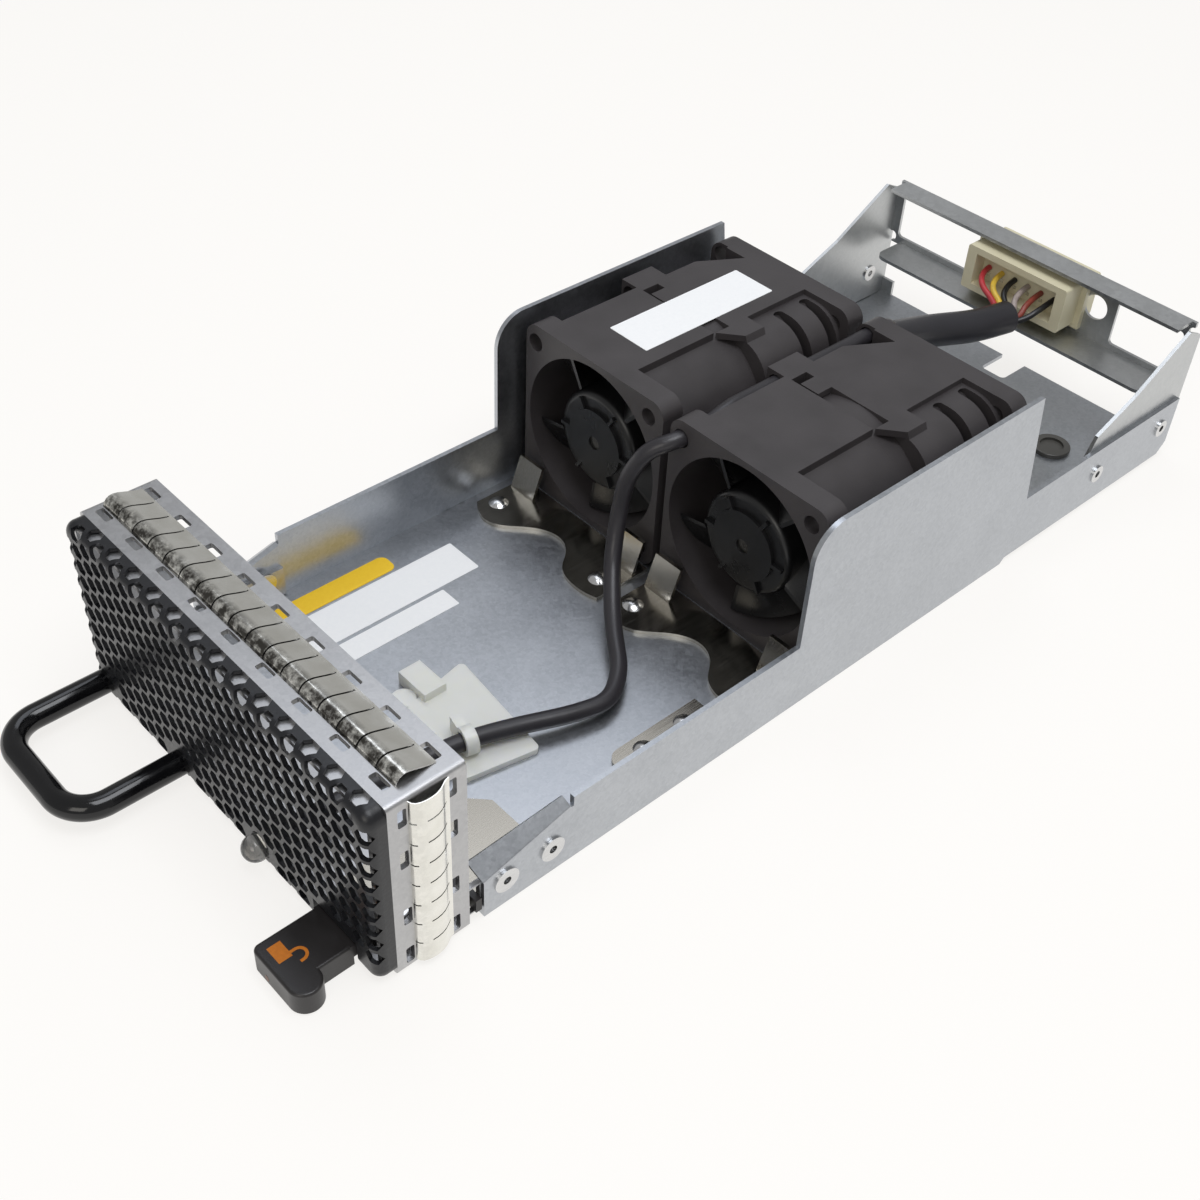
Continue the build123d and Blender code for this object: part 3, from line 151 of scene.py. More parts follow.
# %% [markdown]
# ## Table
# The object was cut out on white. A pale sheet of paper under it gives the same clean
# look and keeps the tray's soft shadow. Under gentle lamps alone paper comes out grey,
# so it glows where the camera looks at it and where metal mirrors it. The matte surfaces
# get no light from that glow.

# %% Table top
TABLE_REACH = 30.0
TABLE_GAP = 0.0002
floor_mesh = bpy.data.meshes.new("table")
floor_shape = bmesh.new()
bmesh.ops.create_grid(floor_shape, x_segments=1, y_segments=1, size=TABLE_REACH)
bmesh.ops.translate(floor_shape, verts=floor_shape.verts, vec=(0, 0, -TABLE_GAP))
floor_shape.to_mesh(floor_mesh)
floor_shape.free()
table = bpy.data.objects.new("table", floor_mesh)
bpy.context.scene.collection.objects.link(table)
print("table reaches", TABLE_REACH, "m each way")

# %% Paper on the table
GLOW = 0.8
paper, paper_tree, paper_shader, _ = new_finish(
    "pale paper", {"Base Color": colour("#fdfcfa"), "Roughness": 0.9, "Specular IOR Level": 0.1}
)
rays = paper_tree.nodes.new("ShaderNodeLightPath")
glow = add_node(
    paper_tree, "ShaderNodeEmission", {"Color": colour("#fffdfa"), "Strength": 1.0}, {}
)
blend = add_node(
    paper_tree,
    "ShaderNodeMixShader",
    {},
    {1: paper_shader.outputs["BSDF"], 2: glow.outputs["Emission"]},
)
mirrored = add_node(
    paper_tree,
    "ShaderNodeMath",
    {"operation": "MULTIPLY", 1: GLOW},
    {0: rays.outputs["Is Glossy Ray"]},
)
looked_at = add_node(
    paper_tree,
    "ShaderNodeMath",
    {"operation": "MULTIPLY", 1: GLOW},
    {0: rays.outputs["Is Camera Ray"]},
)
glow_share = add_node(
    paper_tree,
    "ShaderNodeMath",
    {"operation": "MAXIMUM"},
    {0: mirrored.outputs[0], 1: looked_at.outputs[0]},
)
paper_tree.links.new(glow_share.outputs[0], blend.inputs["Fac"])
paper_tree.links.new(blend.outputs[0], paper_tree.nodes["Material Output"].inputs["Surface"])
floor_mesh.materials.append(paper)
print("paper glows by", GLOW, "where it is looked at")

# %% [markdown]
# ## Room
# The room round the table is white where the camera, or clear plastic, looks at it. The
# metal mirrors it at less than half of that, so that its greys keep their depth, and the
# matte surfaces get the same low and even fill.

# %% White room
ROOM_IN_MIRRORS = 0.4
ROOM_FILL = 0.4
scene = bpy.context.scene
scene.view_settings.view_transform = "Standard"
world = bpy.data.worlds.new("studio")
scene.world = world
world.use_nodes = True
sky = world.node_tree
sky_rays = sky.nodes.new("ShaderNodeLightPath")
seen = add_node(
    sky,
    "ShaderNodeMath",
    {"operation": "MAXIMUM"},
    {0: sky_rays.outputs["Is Camera Ray"], 1: sky_rays.outputs["Is Transmission Ray"]},
)
glossy = add_node(
    sky,
    "ShaderNodeMath",
    {"operation": "MULTIPLY", 1: ROOM_IN_MIRRORS},
    {0: sky_rays.outputs["Is Glossy Ray"]},
)
seen_or_glossy = add_node(
    sky, "ShaderNodeMath", {"operation": "MAXIMUM"}, {0: seen.outputs[0], 1: glossy.outputs[0]}
)
strength = add_node(
    sky,
    "ShaderNodeMath",
    {"operation": "MAXIMUM", 1: ROOM_FILL},
    {0: seen_or_glossy.outputs[0]},
)
sky.nodes["Background"].inputs["Color"].default_value = (1, 1, 1, 1)
sky.links.new(strength.outputs[0], sky.nodes["Background"].inputs["Strength"])
print("room fills at", ROOM_FILL)

# %% [markdown]
# ## Lamps
# Three soft boxes light the tray: a strong one overhead, a weak bluish one from the
# window side and a warm one from the front. Wide lamps are used because small ones
# would put hard sparks on the zinc and hard edges on the shadows.


# %% Soft boxes
def soft_box(name, place, target, width, power, tint):
    """A square studio lamp that faces a point of the tray."""
    lamp = bpy.data.lights.new(name, "AREA")
    lamp.size = width
    lamp.energy = power
    lamp.color = colour(tint)[:3]
    holder = bpy.data.objects.new(name, lamp)
    holder.location = place
    holder.rotation_euler = (Vector(target) - Vector(place)).to_track_quat("-Z", "Y").to_euler()
    scene.collection.objects.link(holder)


soft_box(
    "overhead box",
    place=(0.22, -0.02, 0.8),
    target=(0, 0.02, 0),
    width=0.45,
    power=3.3,
    tint="#f7faff",
)
soft_box(
    "window box",
    place=(-0.28, 0.2, 0.75),
    target=(0, 0.02, 0),
    width=0.4,
    power=1.0,
    tint="#eef4ff",
)
soft_box(
    "front box",
    place=(0.35, -0.7, 0.5),
    target=(0, 0, 0.02),
    width=0.4,
    power=1.2,
    tint="#fffaf2",
)
print("three soft boxes")

# %% [markdown]
# ## Zinc-coated steel sheet
# Tray, bezel and bracket are folded from steel sheet that was galvanised at the mill.
# The zinc freezes in small crystals, so a close look shows faint blotches of slightly
# different grey about a millimetre wide, under a soft, slightly milky shine. A metal
# shader with a cell pattern in its colour and roughness gives both at once.

# %% Zinc finish
ZINC_GRAIN = 0.5
ZINC_CLOUD = 14
GRAIN_SHARE = 0.68
CLOUD_SHARE = 0.35


def zinc_finish(name, pale, dark, roughness, blotch):
    """Galvanised sheet: crystal blotches, fine rolling grain and a milky shine."""
    finish, tree, shader, place = new_finish(name, {"Metallic": 1.0})
    crystals = add_node(
        tree,
        "ShaderNodeTexVoronoi",
        {"Scale": per(blotch), "Randomness": 1.0},
        {"Vector": place},
    )
    grain = add_node(
        tree,
        "ShaderNodeTexNoise",
        {"Scale": per(ZINC_GRAIN), "Detail": 5.0, "Roughness": 0.65},
        {"Vector": place},
    )
    clouds = add_node(
        tree,
        "ShaderNodeTexNoise",
        {"Scale": per(ZINC_CLOUD), "Detail": 3.0},
        {"Vector": place},
    )
    blotches = add_node(
        tree,
        "ShaderNodeMix",
        {"data_type": "FLOAT", 0: GRAIN_SHARE},
        {2: crystals.outputs["Color"], 3: grain.outputs["Fac"]},
    )
    mottle = add_node(
        tree,
        "ShaderNodeMix",
        {"data_type": "FLOAT", 0: CLOUD_SHARE},
        {2: blotches.outputs[0], 3: clouds.outputs["Fac"]},
    )
    tint = add_node(
        tree,
        "ShaderNodeMix",
        {"data_type": "RGBA", 6: colour(dark), 7: colour(pale)},
        {0: mottle.outputs[0]},
    )
    tree.links.new(tint.outputs[2], shader.inputs["Base Color"])
    shine = add_node(
        tree,
        "ShaderNodeMapRange",
        {
            "From Min": NOISE_LOW,
            "From Max": NOISE_HIGH,
            "To Min": roughness - 0.05,
            "To Max": roughness + 0.08,
        },
        {"Value": mottle.outputs[0]},
    )
    tree.links.new(shine.outputs[0], shader.inputs["Roughness"])
    relief = add_node(
        tree,
        "ShaderNodeBump",
        {"Strength": 0.08, "Distance": mm(0.05)},
        {"Height": grain.outputs["Fac"]},
    )
    tree.links.new(relief.outputs[0], shader.inputs["Normal"])
    return finish


tray_zinc = zinc_finish("galvanised steel, tray", "#d3d6da", "#94989e", 0.35, 0.7)
bezel_zinc = zinc_finish("galvanised steel, bezel", "#d0d0d0", "#9c9c9e", 0.36, 1.0)
bracket_zinc = zinc_finish("galvanised steel, bracket", "#dcdddd", "#aaadae", 0.38, 1.1)
print("zinc finishes:", tray_zinc.name, "|", bezel_zinc.name, "|", bracket_zinc.name)

# %% [markdown]
# ## Rolled and drawn metal
# The fans' retaining plates, the floor strip and the lever's plate are plain rolled
# spring steel, warmer than zinc, with a satin shine along the rolling direction. A
# noise stretched along the tray's depth draws the fine rolling lines. Rivets, contacts,
# shafts and the copper of the windings take the same recipe with their own colours.

# %% Rolled metal finish
ROLLING_LINES = (0.25, 6, 0.8)


def rolled_finish(name, pale, dark, roughness):
    """Bare rolled metal: a satin shine with fine lines along the sheet."""
    finish, tree, shader, place = new_finish(name, {"Metallic": 1.0, "Anisotropic": 0.3})
    stretch = add_node(
        tree,
        "ShaderNodeMapping",
        {"Scale": [per(size) for size in ROLLING_LINES]},
        {"Vector": place},
    )
    lines = add_node(
        tree,
        "ShaderNodeTexNoise",
        {"Scale": 1.0, "Detail": 4.0, "Roughness": 0.6},
        {"Vector": stretch.outputs[0]},
    )
    tint = add_node(
        tree,
        "ShaderNodeMix",
        {"data_type": "RGBA", 6: colour(dark), 7: colour(pale)},
        {0: lines.outputs["Fac"]},
    )
    tree.links.new(tint.outputs[2], shader.inputs["Base Color"])
    shine = add_node(
        tree,
        "ShaderNodeMapRange",
        {
            "From Min": NOISE_LOW,
            "From Max": NOISE_HIGH,
            "To Min": roughness - 0.05,
            "To Max": roughness + 0.07,
        },
        {"Value": lines.outputs["Fac"]},
    )
    tree.links.new(shine.outputs[0], shader.inputs["Roughness"])
    return finish


spring_steel = rolled_finish("rolled spring steel", "#cdc8be", "#a6a196", 0.17)
strip_steel = rolled_finish("rolled steel strip", "#b5b0a6", "#8a857b", 0.26)
plated_rivet = rolled_finish("bright plated steel", "#e6e6e6", "#c4c4c4", 0.2)
tin_contact = rolled_finish("tinned contact metal", "#dedcd4", "#b5b3ab", 0.25)
ground_shaft = rolled_finish("ground shaft steel", "#77746f", "#4e4c49", 0.3)
copper_wire = rolled_finish("enamelled copper", "#b8693a", "#8a4a24", 0.3)
print("steel and copper finishes made")

# %% [markdown]
# ## Bright nickel on the finger strips
# The finger strips are beryllium copper plated with bright nickel. Nickel is a little
# warmer than chrome, and the plating keeps faint clouds from the bath, so the shine
# changes softly from finger to finger instead of showing a grain. The top strip's front
# slope carries painted dark reflections: dark patches painted into its colour in place
# of mirrored dark surroundings, ending just past the crest. The side strip gets a faint share.

# %% Nickel finish
NICKEL_PALE = "#f8f7f2"
NICKEL_CLOUD = "#dcdad0"
NICKEL_SHINE = (0.12, 0.24)
# The colour, the depths and the patch edges of the painted dark reflections on the top strip's
# front slope.
DARK_REFLECTION = "#3b3833"
DARK_REFLECTION_START = 4.9
DARK_REFLECTION_END = 6.8
PATCH_EDGES = (0.36, 0.56)


def nickel_finish(name, reflection_share):
    """Bright nickel with bath clouds and, by a share, painted dark reflections on the front
    slope.
    """
    finish, tree, shader, place = new_finish(name, {"Metallic": 1.0})
    clouds = add_node(
        tree, "ShaderNodeTexNoise", {"Scale": per(4), "Detail": 3.0}, {"Vector": place}
    )
    plated = add_node(
        tree,
        "ShaderNodeMix",
        {"data_type": "RGBA", 6: colour(NICKEL_CLOUD), 7: colour(NICKEL_PALE)},
        {0: clouds.outputs["Fac"]},
    )
    axes = add_node(tree, "ShaderNodeSeparateXYZ", {}, {"Vector": place})
    slope = add_node(
        tree,
        "ShaderNodeMapRange",
        {
            "From Min": spot(0, DARK_REFLECTION_START, 0).y,
            "From Max": spot(0, DARK_REFLECTION_END, 0).y,
            "To Min": reflection_share,
            "To Max": 0.0,
        },
        {"Value": axes.outputs["Y"]},
    )
    reflection_noise = add_node(
        tree,
        "ShaderNodeTexNoise",
        {"Scale": per(1.7), "Detail": 5.0, "Roughness": 0.65},
        {"Vector": place},
    )
    patches = add_node(
        tree,
        "ShaderNodeMapRange",
        {"From Min": PATCH_EDGES[0], "From Max": PATCH_EDGES[1], "To Min": 0.0, "To Max": 1.0},
        {"Value": reflection_noise.outputs["Fac"]},
    )
    # Painted dark reflection: the front slope is darkened in noisy patches, fading out towards
    # the crest.
    dimmed = add_node(
        tree,
        "ShaderNodeMath",
        {"operation": "MULTIPLY"},
        {0: slope.outputs[0], 1: patches.outputs[0]},
    )
    tint = add_node(
        tree,
        "ShaderNodeMix",
        {"data_type": "RGBA", 7: colour(DARK_REFLECTION)},
        {0: dimmed.outputs[0], 6: plated.outputs[2]},
    )
    tree.links.new(tint.outputs[2], shader.inputs["Base Color"])
    shine = add_node(
        tree,
        "ShaderNodeMapRange",
        {
            "From Min": NOISE_LOW,
            "From Max": NOISE_HIGH,
            "To Min": NICKEL_SHINE[0],
            "To Max": NICKEL_SHINE[1],
        },
        {"Value": clouds.outputs["Fac"]},
    )
    tree.links.new(shine.outputs[0], shader.inputs["Roughness"])
    return finish


# The top strip gets strong painted dark reflections, and the side strip a faint share of them.
top_nickel = nickel_finish("rubbed nickel, top strip", 0.95)
side_nickel = nickel_finish("bright nickel, side strip", 0.1)
print("nickel made")

# %% [markdown]
# ## Black powder coat and gloss paint
# The grille is baked powder paint: near black with a bluish sheen, and a fine orange
# peel that breaks up its highlights. The handle's paint is smoother and glossier. Both
# are plastics in their optics, so they are not metallic, and their relief carries them.


# %% Paint finish
def paint_finish(name, code, roughness, peel, strength):
    """Baked paint with an orange peel so many millimetres wide."""
    finish, tree, shader, place = new_finish(name, {"Base Color": colour(code), "IOR": 1.5})
    skin = add_node(
        tree,
        "ShaderNodeTexNoise",
        {"Scale": per(peel), "Detail": 2.0},
        {"Vector": place},
    )
    relief = add_node(
        tree,
        "ShaderNodeBump",
        {"Strength": strength, "Distance": mm(0.1)},
        {"Height": skin.outputs["Fac"]},
    )
    tree.links.new(relief.outputs[0], shader.inputs["Normal"])
    shine = add_node(
        tree,
        "ShaderNodeMapRange",
        {
            "From Min": NOISE_LOW,
            "From Max": NOISE_HIGH,
            "To Min": roughness - 0.04,
            "To Max": roughness + 0.06,
        },
        {"Value": skin.outputs["Fac"]},
    )
    tree.links.new(shine.outputs[0], shader.inputs["Roughness"])
    return finish


powder_black = paint_finish("black powder coat", "#121317", 0.34, 0.6, 0.25)
gloss_black = paint_finish("black gloss enamel", "#08080a", 0.13, 2.5, 0.05)
print("paints:", powder_black.name, "|", gloss_black.name)

# %% [markdown]
# ## Moulded black plastic
# Fan housings are moulded from glass-filled polyester. The mould was spark eroded, so
# the skin has a fine even grain and a dull grey bloom rather than a gloss. The rotor is
# the same plastic from a polished mould, and the lever is smooth nylon.


# %% Moulded plastic finish
def moulded_finish(name, code, bloom, roughness, grain, strength):
    """Moulded plastic: spark-eroded grain and a slight cloudy bloom."""
    finish, tree, shader, place = new_finish(name, {"IOR": 1.5})
    skin = add_node(
        tree,
        "ShaderNodeTexNoise",
        {"Scale": per(grain), "Detail": 4.0, "Roughness": 0.6},
        {"Vector": place},
    )
    clouds = add_node(
        tree, "ShaderNodeTexNoise", {"Scale": per(9), "Detail": 3.0}, {"Vector": place}
    )
    tint = add_node(
        tree,
        "ShaderNodeMix",
        {"data_type": "RGBA", 6: colour(code), 7: colour(bloom)},
        {0: clouds.outputs["Fac"]},
    )
    tree.links.new(tint.outputs[2], shader.inputs["Base Color"])
    relief = add_node(
        tree,
        "ShaderNodeBump",
        {"Strength": strength, "Distance": mm(0.06)},
        {"Height": skin.outputs["Fac"]},
    )
    tree.links.new(relief.outputs[0], shader.inputs["Normal"])
    shine = add_node(
        tree,
        "ShaderNodeMapRange",
        {
            "From Min": NOISE_LOW,
            "From Max": NOISE_HIGH,
            "To Min": roughness - 0.05,
            "To Max": roughness + 0.07,
        },
        {"Value": clouds.outputs["Fac"]},
    )
    tree.links.new(shine.outputs[0], shader.inputs["Roughness"])
    return finish


housing_plastic = moulded_finish("glass-filled polyester", "#322f30", "#464243", 0.42, 0.35, 0.35)
rotor_plastic = moulded_finish("polished black polyester", "#131314", "#1c1c1d", 0.3, 0.5, 0.12)
lever_plastic = moulded_finish("black nylon", "#1f1d1d", "#2a2727", 0.34, 0.4, 0.2)
holder_plastic = moulded_finish("black nylon, lamp holder", "#161617", "#202021", 0.4, 0.4, 0.2)
cream_plastic = moulded_finish("cream polyamide", "#e3dcc0", "#cfc7a6", 0.4, 0.5, 0.1)
plug_plastic = moulded_finish("grey nylon plug", "#3c3b38", "#55534e", 0.35, 0.5, 0.1)
board_green = moulded_finish("solder mask", "#1f4a33", "#2a5a3e", 0.3, 0.8, 0.1)
print("plastics made")

# %% [markdown]
# ## Clear and milky plastics
# The lamp is clear epoxy, a true refracting solid. The cable's mount and tie are
# natural nylon: light sinks in a little, so thin edges look bright and the body looks
# like candle wax. Subsurface light does most of that with less noise than refraction.

# %% Clear and milky finishes
clear_epoxy, epoxy_tree, epoxy_shader, epoxy_place = new_finish(
    "clear epoxy",
    {
        "Base Color": colour("#fdfcfa"),
        "Roughness": 0.02,
        "IOR": 1.52,
        "Transmission Weight": 0.97,
    },
)
epoxy_waves = add_node(
    epoxy_tree, "ShaderNodeTexNoise", {"Scale": per(3), "Detail": 1.0}, {"Vector": epoxy_place}
)
epoxy_relief = add_node(
    epoxy_tree,
    "ShaderNodeBump",
    {"Strength": 0.05, "Distance": mm(0.1)},
    {"Height": epoxy_waves.outputs["Fac"]},
)
epoxy_tree.links.new(epoxy_relief.outputs[0], epoxy_shader.inputs["Normal"])

milky_nylon, nylon_tree, nylon_shader, nylon_place = new_finish(
    "natural nylon",
    {
        "IOR": 1.53,
        "Roughness": 0.3,
        "Transmission Weight": 0.2,
        "Subsurface Weight": 0.5,
        "Subsurface Radius": (1.0, 0.95, 0.75),
        "Subsurface Scale": mm(1.5),
    },
)
nylon_clouds = add_node(
    nylon_tree, "ShaderNodeTexNoise", {"Scale": per(8), "Detail": 3.0}, {"Vector": nylon_place}
)
nylon_tint = add_node(
    nylon_tree,
    "ShaderNodeMix",
    {"data_type": "RGBA", 6: colour("#f3f4e6"), 7: colour("#fffffa")},
    {0: nylon_clouds.outputs["Fac"]},
)
nylon_tree.links.new(nylon_tint.outputs[2], nylon_shader.inputs["Base Color"])
print("clear and milky finishes made")

# %% [markdown]
# ## Cable jackets
# The lamp's cable has a soft black vinyl jacket with a satin skin, and the fans' leads
# run in heat-shrunk sleeve that is smoother and shows the wires under it as long low
# ridges. Both are dark plastics with a fine relief.

# %% Cable finishes
vinyl_jacket = moulded_finish("black vinyl jacket", "#262427", "#323034", 0.36, 0.9, 0.15)
shrunk_sleeve = moulded_finish("heat-shrunk sleeve", "#232226", "#2e2d32", 0.34, 2.5, 0.25)
print("cable finishes made")

# %% [markdown]
# ## Dress the solids
# Every solid of the CAD gets its finish by name, also the five that a finer piece
# stands for later. A table of piece and finish is easier to check against the
# photograph than a line for each.

# %% Finishes of the solids
finishes = {
    "tray_base": tray_zinc,
    "front_bezel": bezel_zinc,
    "rear_bracket": bracket_zinc,
    "lever_base_plate": strip_steel,
    "floor_strip": strip_steel,
    "top_gasket": top_nickel,
    "side_gasket": side_nickel,
    "face_grille": powder_black,
    "handle": gloss_black,
    "handle_screws": plated_rivet,
    "status_lamp_lens": clear_epoxy,
    "lamp_holder": holder_plastic,
    "lock_lever": lever_plastic,
    "lever_washer": plated_rivet,
    "lever_pivot_pin": plated_rivet,
    "front_wall_rivets": plated_rivet,
    "rear_wall_rivets": plated_rivet,
    "retainer_rivets": plated_rivet,
    "strip_rivets": plated_rivet,
    "rear_connector": cream_plastic,
    "connector_contacts": tin_contact,
    "floor_plug": plug_plastic,
    "left_fan_retainer": spring_steel,
    "right_fan_retainer": spring_steel,
    "cable_mount": milky_nylon,
    "cable_tie": milky_nylon,
    "lamp_cable": vinyl_jacket,
    "harness_sleeve": shrunk_sleeve,
    "connector_wires": vinyl_jacket,
    "fan_leads": vinyl_jacket,
}
for side in ("left", "right"):
    finishes[f"{side}_fan_bearings"] = plated_rivet
    finishes[f"{side}_fan_stators"] = copper_wire
    finishes[f"{side}_fan_control_boards"] = board_green
    for module in ("front", "rear"):
        finishes[f"{side}_{module}_housing"] = housing_plastic
        finishes[f"{side}_{module}_rotor"] = rotor_plastic
        finishes[f"{side}_{module}_shaft"] = ground_shaft

for name, piece in nodes.items():
    for slot in piece.material_slots:
        slot.material = finishes[name]
print(len(finishes), "solids dressed")

# %% [markdown]
# ## Making a small flat piece
# Stickers and printed marks are thin sheets that lie on a surface. Each starts as a
# four-cornered face, gets its corners rounded, and is extruded by less than a tenth
# of a millimetre, because a sheet with no thickness would vanish from the side. Each
# new piece rides on the body that carries it, and that is looked up by a CAD node.

# %% Helpers for new pieces
body_of = {
    node: body
    for body, members in frame["record"]["behaviour"]["bodies"].items()
    for node in members
}


def new_piece(name, shape, finish, body):
    """Turn a bmesh into a piece that rides on a body of the tray."""
    bmesh.ops.remove_doubles(shape, verts=shape.verts, dist=mm(0.0005))
    bmesh.ops.recalc_face_normals(shape, faces=shape.faces)
    mesh = bpy.data.meshes.new(name)
    shape.to_mesh(mesh)
    shape.free()
    mesh.materials.append(finish)
    piece = bpy.data.objects.new(name, mesh)
    bpy.context.scene.collection.objects.link(piece)
    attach(piece, body)
    return piece


def smooth(piece, angle):
    """Shade a piece smoothly, but not over edges sharper than the angle in degrees."""
    for face in piece.data.polygons:
        face.use_smooth = True
    piece.data.set_sharp_from_angle(angle=math.radians(angle))


def lying_corners(left, right, start, end, level):
    """The corners of a rectangle that lies flat at a height."""
    return [
        spot(left, start, level),
        spot(right, start, level),
        spot(right, end, level),
        spot(left, end, level),
    ]


def flat_outline(corners, thickness, rounding):
    """A thin sheet with rounded corners, as a closed solid."""
    shape = bmesh.new()
    shape.faces.new([shape.verts.new(corner) for corner in corners])
    if rounding:
        bmesh.ops.bevel(
            shape,
            geom=list(shape.verts),
            offset=mm(rounding),
            segments=6,
            profile=0.5,
            affect="VERTICES",
            material=-1,
        )
    raised = bmesh.ops.extrude_face_region(shape, geom=shape.faces[:], use_keep_orig=True)
    lift = [g for g in raised["geom"] if isinstance(g, bmesh.types.BMVert)]
    bmesh.ops.translate(shape, verts=lift, vec=Vector(thickness))
    return shape


print("flat pieces start from four corners")

# %% [markdown]
# ## Curved slots in the rear housings
# The right shoulder of each rear housing has two curved pockets that thin the thick
# corner, so that it cools evenly in the mould. Such a pocket is a short piece of a ring:
# a rectangle is swung about the fan's axis, its ends are closed and rounded, and the
# result is cut out of a copy of the housing.

# %% A cutter for one slot
FAN_X = 21.0
FAN_Z = 21.0
SLOT_WIDTH = 2.5
SLOT_RADII = (19.5, 25.0)
SLOT_ANGLES = (14.5, 66.0)
SLOT_ROUNDING = 0.95


def slot_tool(shape, fan_x, depth):
    """Add a cutter with the form of one curved slot."""
    start, end = (math.radians(angle) for angle in SLOT_ANGLES)
    low, high = SLOT_RADII
    side = SLOT_WIDTH / 2
    section = [
        shape.verts.new(
            spot(fan_x + reach * math.cos(start), depth + aside, FAN_Z + reach * math.sin(start))
        )
        for reach, aside in ((low, -side), (high, -side), (high, side), (low, side))
    ]
    edges = [shape.edges.new((section[i - 1], section[i])) for i in range(4)]
    bmesh.ops.spin(
        shape,
        geom=section + edges,
        cent=spot(fan_x, depth, FAN_Z),
        axis=(0, -1, 0),
        angle=end - start,
        steps=24,
    )
    open_edges = [edge for edge in shape.edges if edge.is_boundary]
    caps = bmesh.ops.holes_fill(shape, edges=open_edges, sides=4)["faces"]
    # The edges that run out from the axis are rounded, so that the slot's ends are too.
    radial = {
        edge
        for cap in caps
        for edge in cap.edges
        if abs(edge.verts[0].co.y - edge.verts[1].co.y) < mm(0.01)
    }
    bmesh.ops.bevel(
        shape,
        geom=list(radial),
        offset=mm(side * SLOT_ROUNDING),
        segments=5,
        profile=0.5,
        affect="EDGES",
        material=-1,
    )
    bmesh.ops.recalc_face_normals(shape, faces=shape.faces)


print("slots are", SLOT_WIDTH, "mm wide")

# %% Slotted housings
SLOT_DEPTHS = (141.2, 149.0)


def slotted_housing(node, fan_x):
    """The rear housing again, with its curved slots cut out."""
    blank = bpy.data.meshes.new("blank")
    solid = bmesh.new()
    solid.from_mesh(nodes[node].data)
    solid.transform(nodes[node].matrix_world)
    bmesh.ops.remove_doubles(solid, verts=solid.verts, dist=mm(0.0005))
    solid.to_mesh(blank)
    solid.free()
    # The CAD's stored normals don't fit the cut faces and would smear their shading.
    if "custom_normal" in blank.attributes:
        blank.attributes.remove(blank.attributes["custom_normal"])
    tools = bmesh.new()
    for depth in SLOT_DEPTHS:
        slot_tool(tools, fan_x, depth)
    tool_mesh = bpy.data.meshes.new("slot tools")
    tools.to_mesh(tool_mesh)
    tools.free()
    work = bpy.data.objects.new("work", blank)
    tool = bpy.data.objects.new("tool", tool_mesh)
    for helper in (work, tool):
        bpy.context.scene.collection.objects.link(helper)
    cut = work.modifiers.new("slots", "BOOLEAN")
    cut.operation = "DIFFERENCE"
    cut.solver = "EXACT"
    cut.object = tool
    bpy.context.view_layer.update()
    done = work.evaluated_get(bpy.context.evaluated_depsgraph_get())
    shape = bmesh.new()
    shape.from_mesh(done.data)
    for helper in (work, tool):
        bpy.data.objects.remove(helper)
    print(node, "faces", len(shape.faces), "open", sum(not e.is_manifold for e in shape.edges))
    piece = new_piece(f"{node}_slotted", shape, housing_plastic, body_of[node])
    smooth(piece, 30)
    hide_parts(node)


slotted_housing("left_rear_housing", -FAN_X)
slotted_housing("right_rear_housing", FAN_X)

# %% [markdown]
# ## Blank stickers
# The tray floor carries three stickers and the left fan one. They stay blank here. The
# white ones are coated paper, matte and slightly fibrous. The yellow one is vinyl with
# a smoother face.


# %% Sticker finishes
def sticker_finish(name, code, shade, roughness):
    """Coated label paper with faint fibres."""
    finish, tree, shader, place = new_finish(name, {"Roughness": roughness, "IOR": 1.48})
    fibres = add_node(
        tree,
        "ShaderNodeTexNoise",
        {"Scale": per(0.7), "Detail": 4.0, "Roughness": 0.7},
        {"Vector": place},
    )
    tint = add_node(
        tree,
        "ShaderNodeMix",
        {"data_type": "RGBA", 6: colour(shade), 7: colour(code)},
        {0: fibres.outputs["Fac"]},
    )
    tree.links.new(tint.outputs[2], shader.inputs["Base Color"])
    relief = add_node(
        tree,
        "ShaderNodeBump",
        {"Strength": 0.1, "Distance": mm(0.03)},
        {"Height": fibres.outputs["Fac"]},
    )
    tree.links.new(relief.outputs[0], shader.inputs["Normal"])
    return finish


white_label = sticker_finish("coated label paper", "#fbfbfa", "#f0f1f2", 0.55)
yellow_label = sticker_finish("yellow vinyl label", "#f9d031", "#efc024", 0.4)
print("labels:", white_label.name, "|", yellow_label.name)

# %% Stickers on the floor and on the left fan
FLOOR_TOP = 1.0
FAN_TOP = 41.0
LABEL_THICKNESS = 0.08
# Each has its left, right, start and end, its level, corner radius, finish and carrier.
stickers = {
    "floor_sticker_yellow": (-39.2, -34.3, 31.0, 58.2, FLOOR_TOP, 1.6, yellow_label, "tray_base"),
    "floor_sticker_white": (-33.6, -24.0, 30.5, 71.2, FLOOR_TOP, 0.4, white_label, "tray_base"),
    "floor_sticker_small": (-23.1, -17.8, 35.6, 61.2, FLOOR_TOP, 0.3, white_label, "tray_base"),
    "fan_sticker": (-28.2, -17.5, 108.8, 145.3, FAN_TOP, 0.3, white_label, "left_front_housing"),
}
for name, (left, right, start, end, level, rounding, finish, under) in stickers.items():
    corners = lying_corners(left, right, start, end, level)
    shape = flat_outline(corners, (0, 0, mm(LABEL_THICKNESS)), rounding)
    new_piece(name, shape, finish, body_of[under])
print(len(stickers), "blank stickers")

# %% [markdown]
# ## The padlock sign
# The lever's top carries a printed open padlock in orange: a filled body and a shackle
# that has swung out of it. The body is a thin rectangle. The shackle is a short bar
# spun through half a turn and drawn out at its free end, which is how a lathe hand
# would think of it, and cheaper than tracing its outline. A small dot, worn pale by
# thumbs, marks the lever's front.


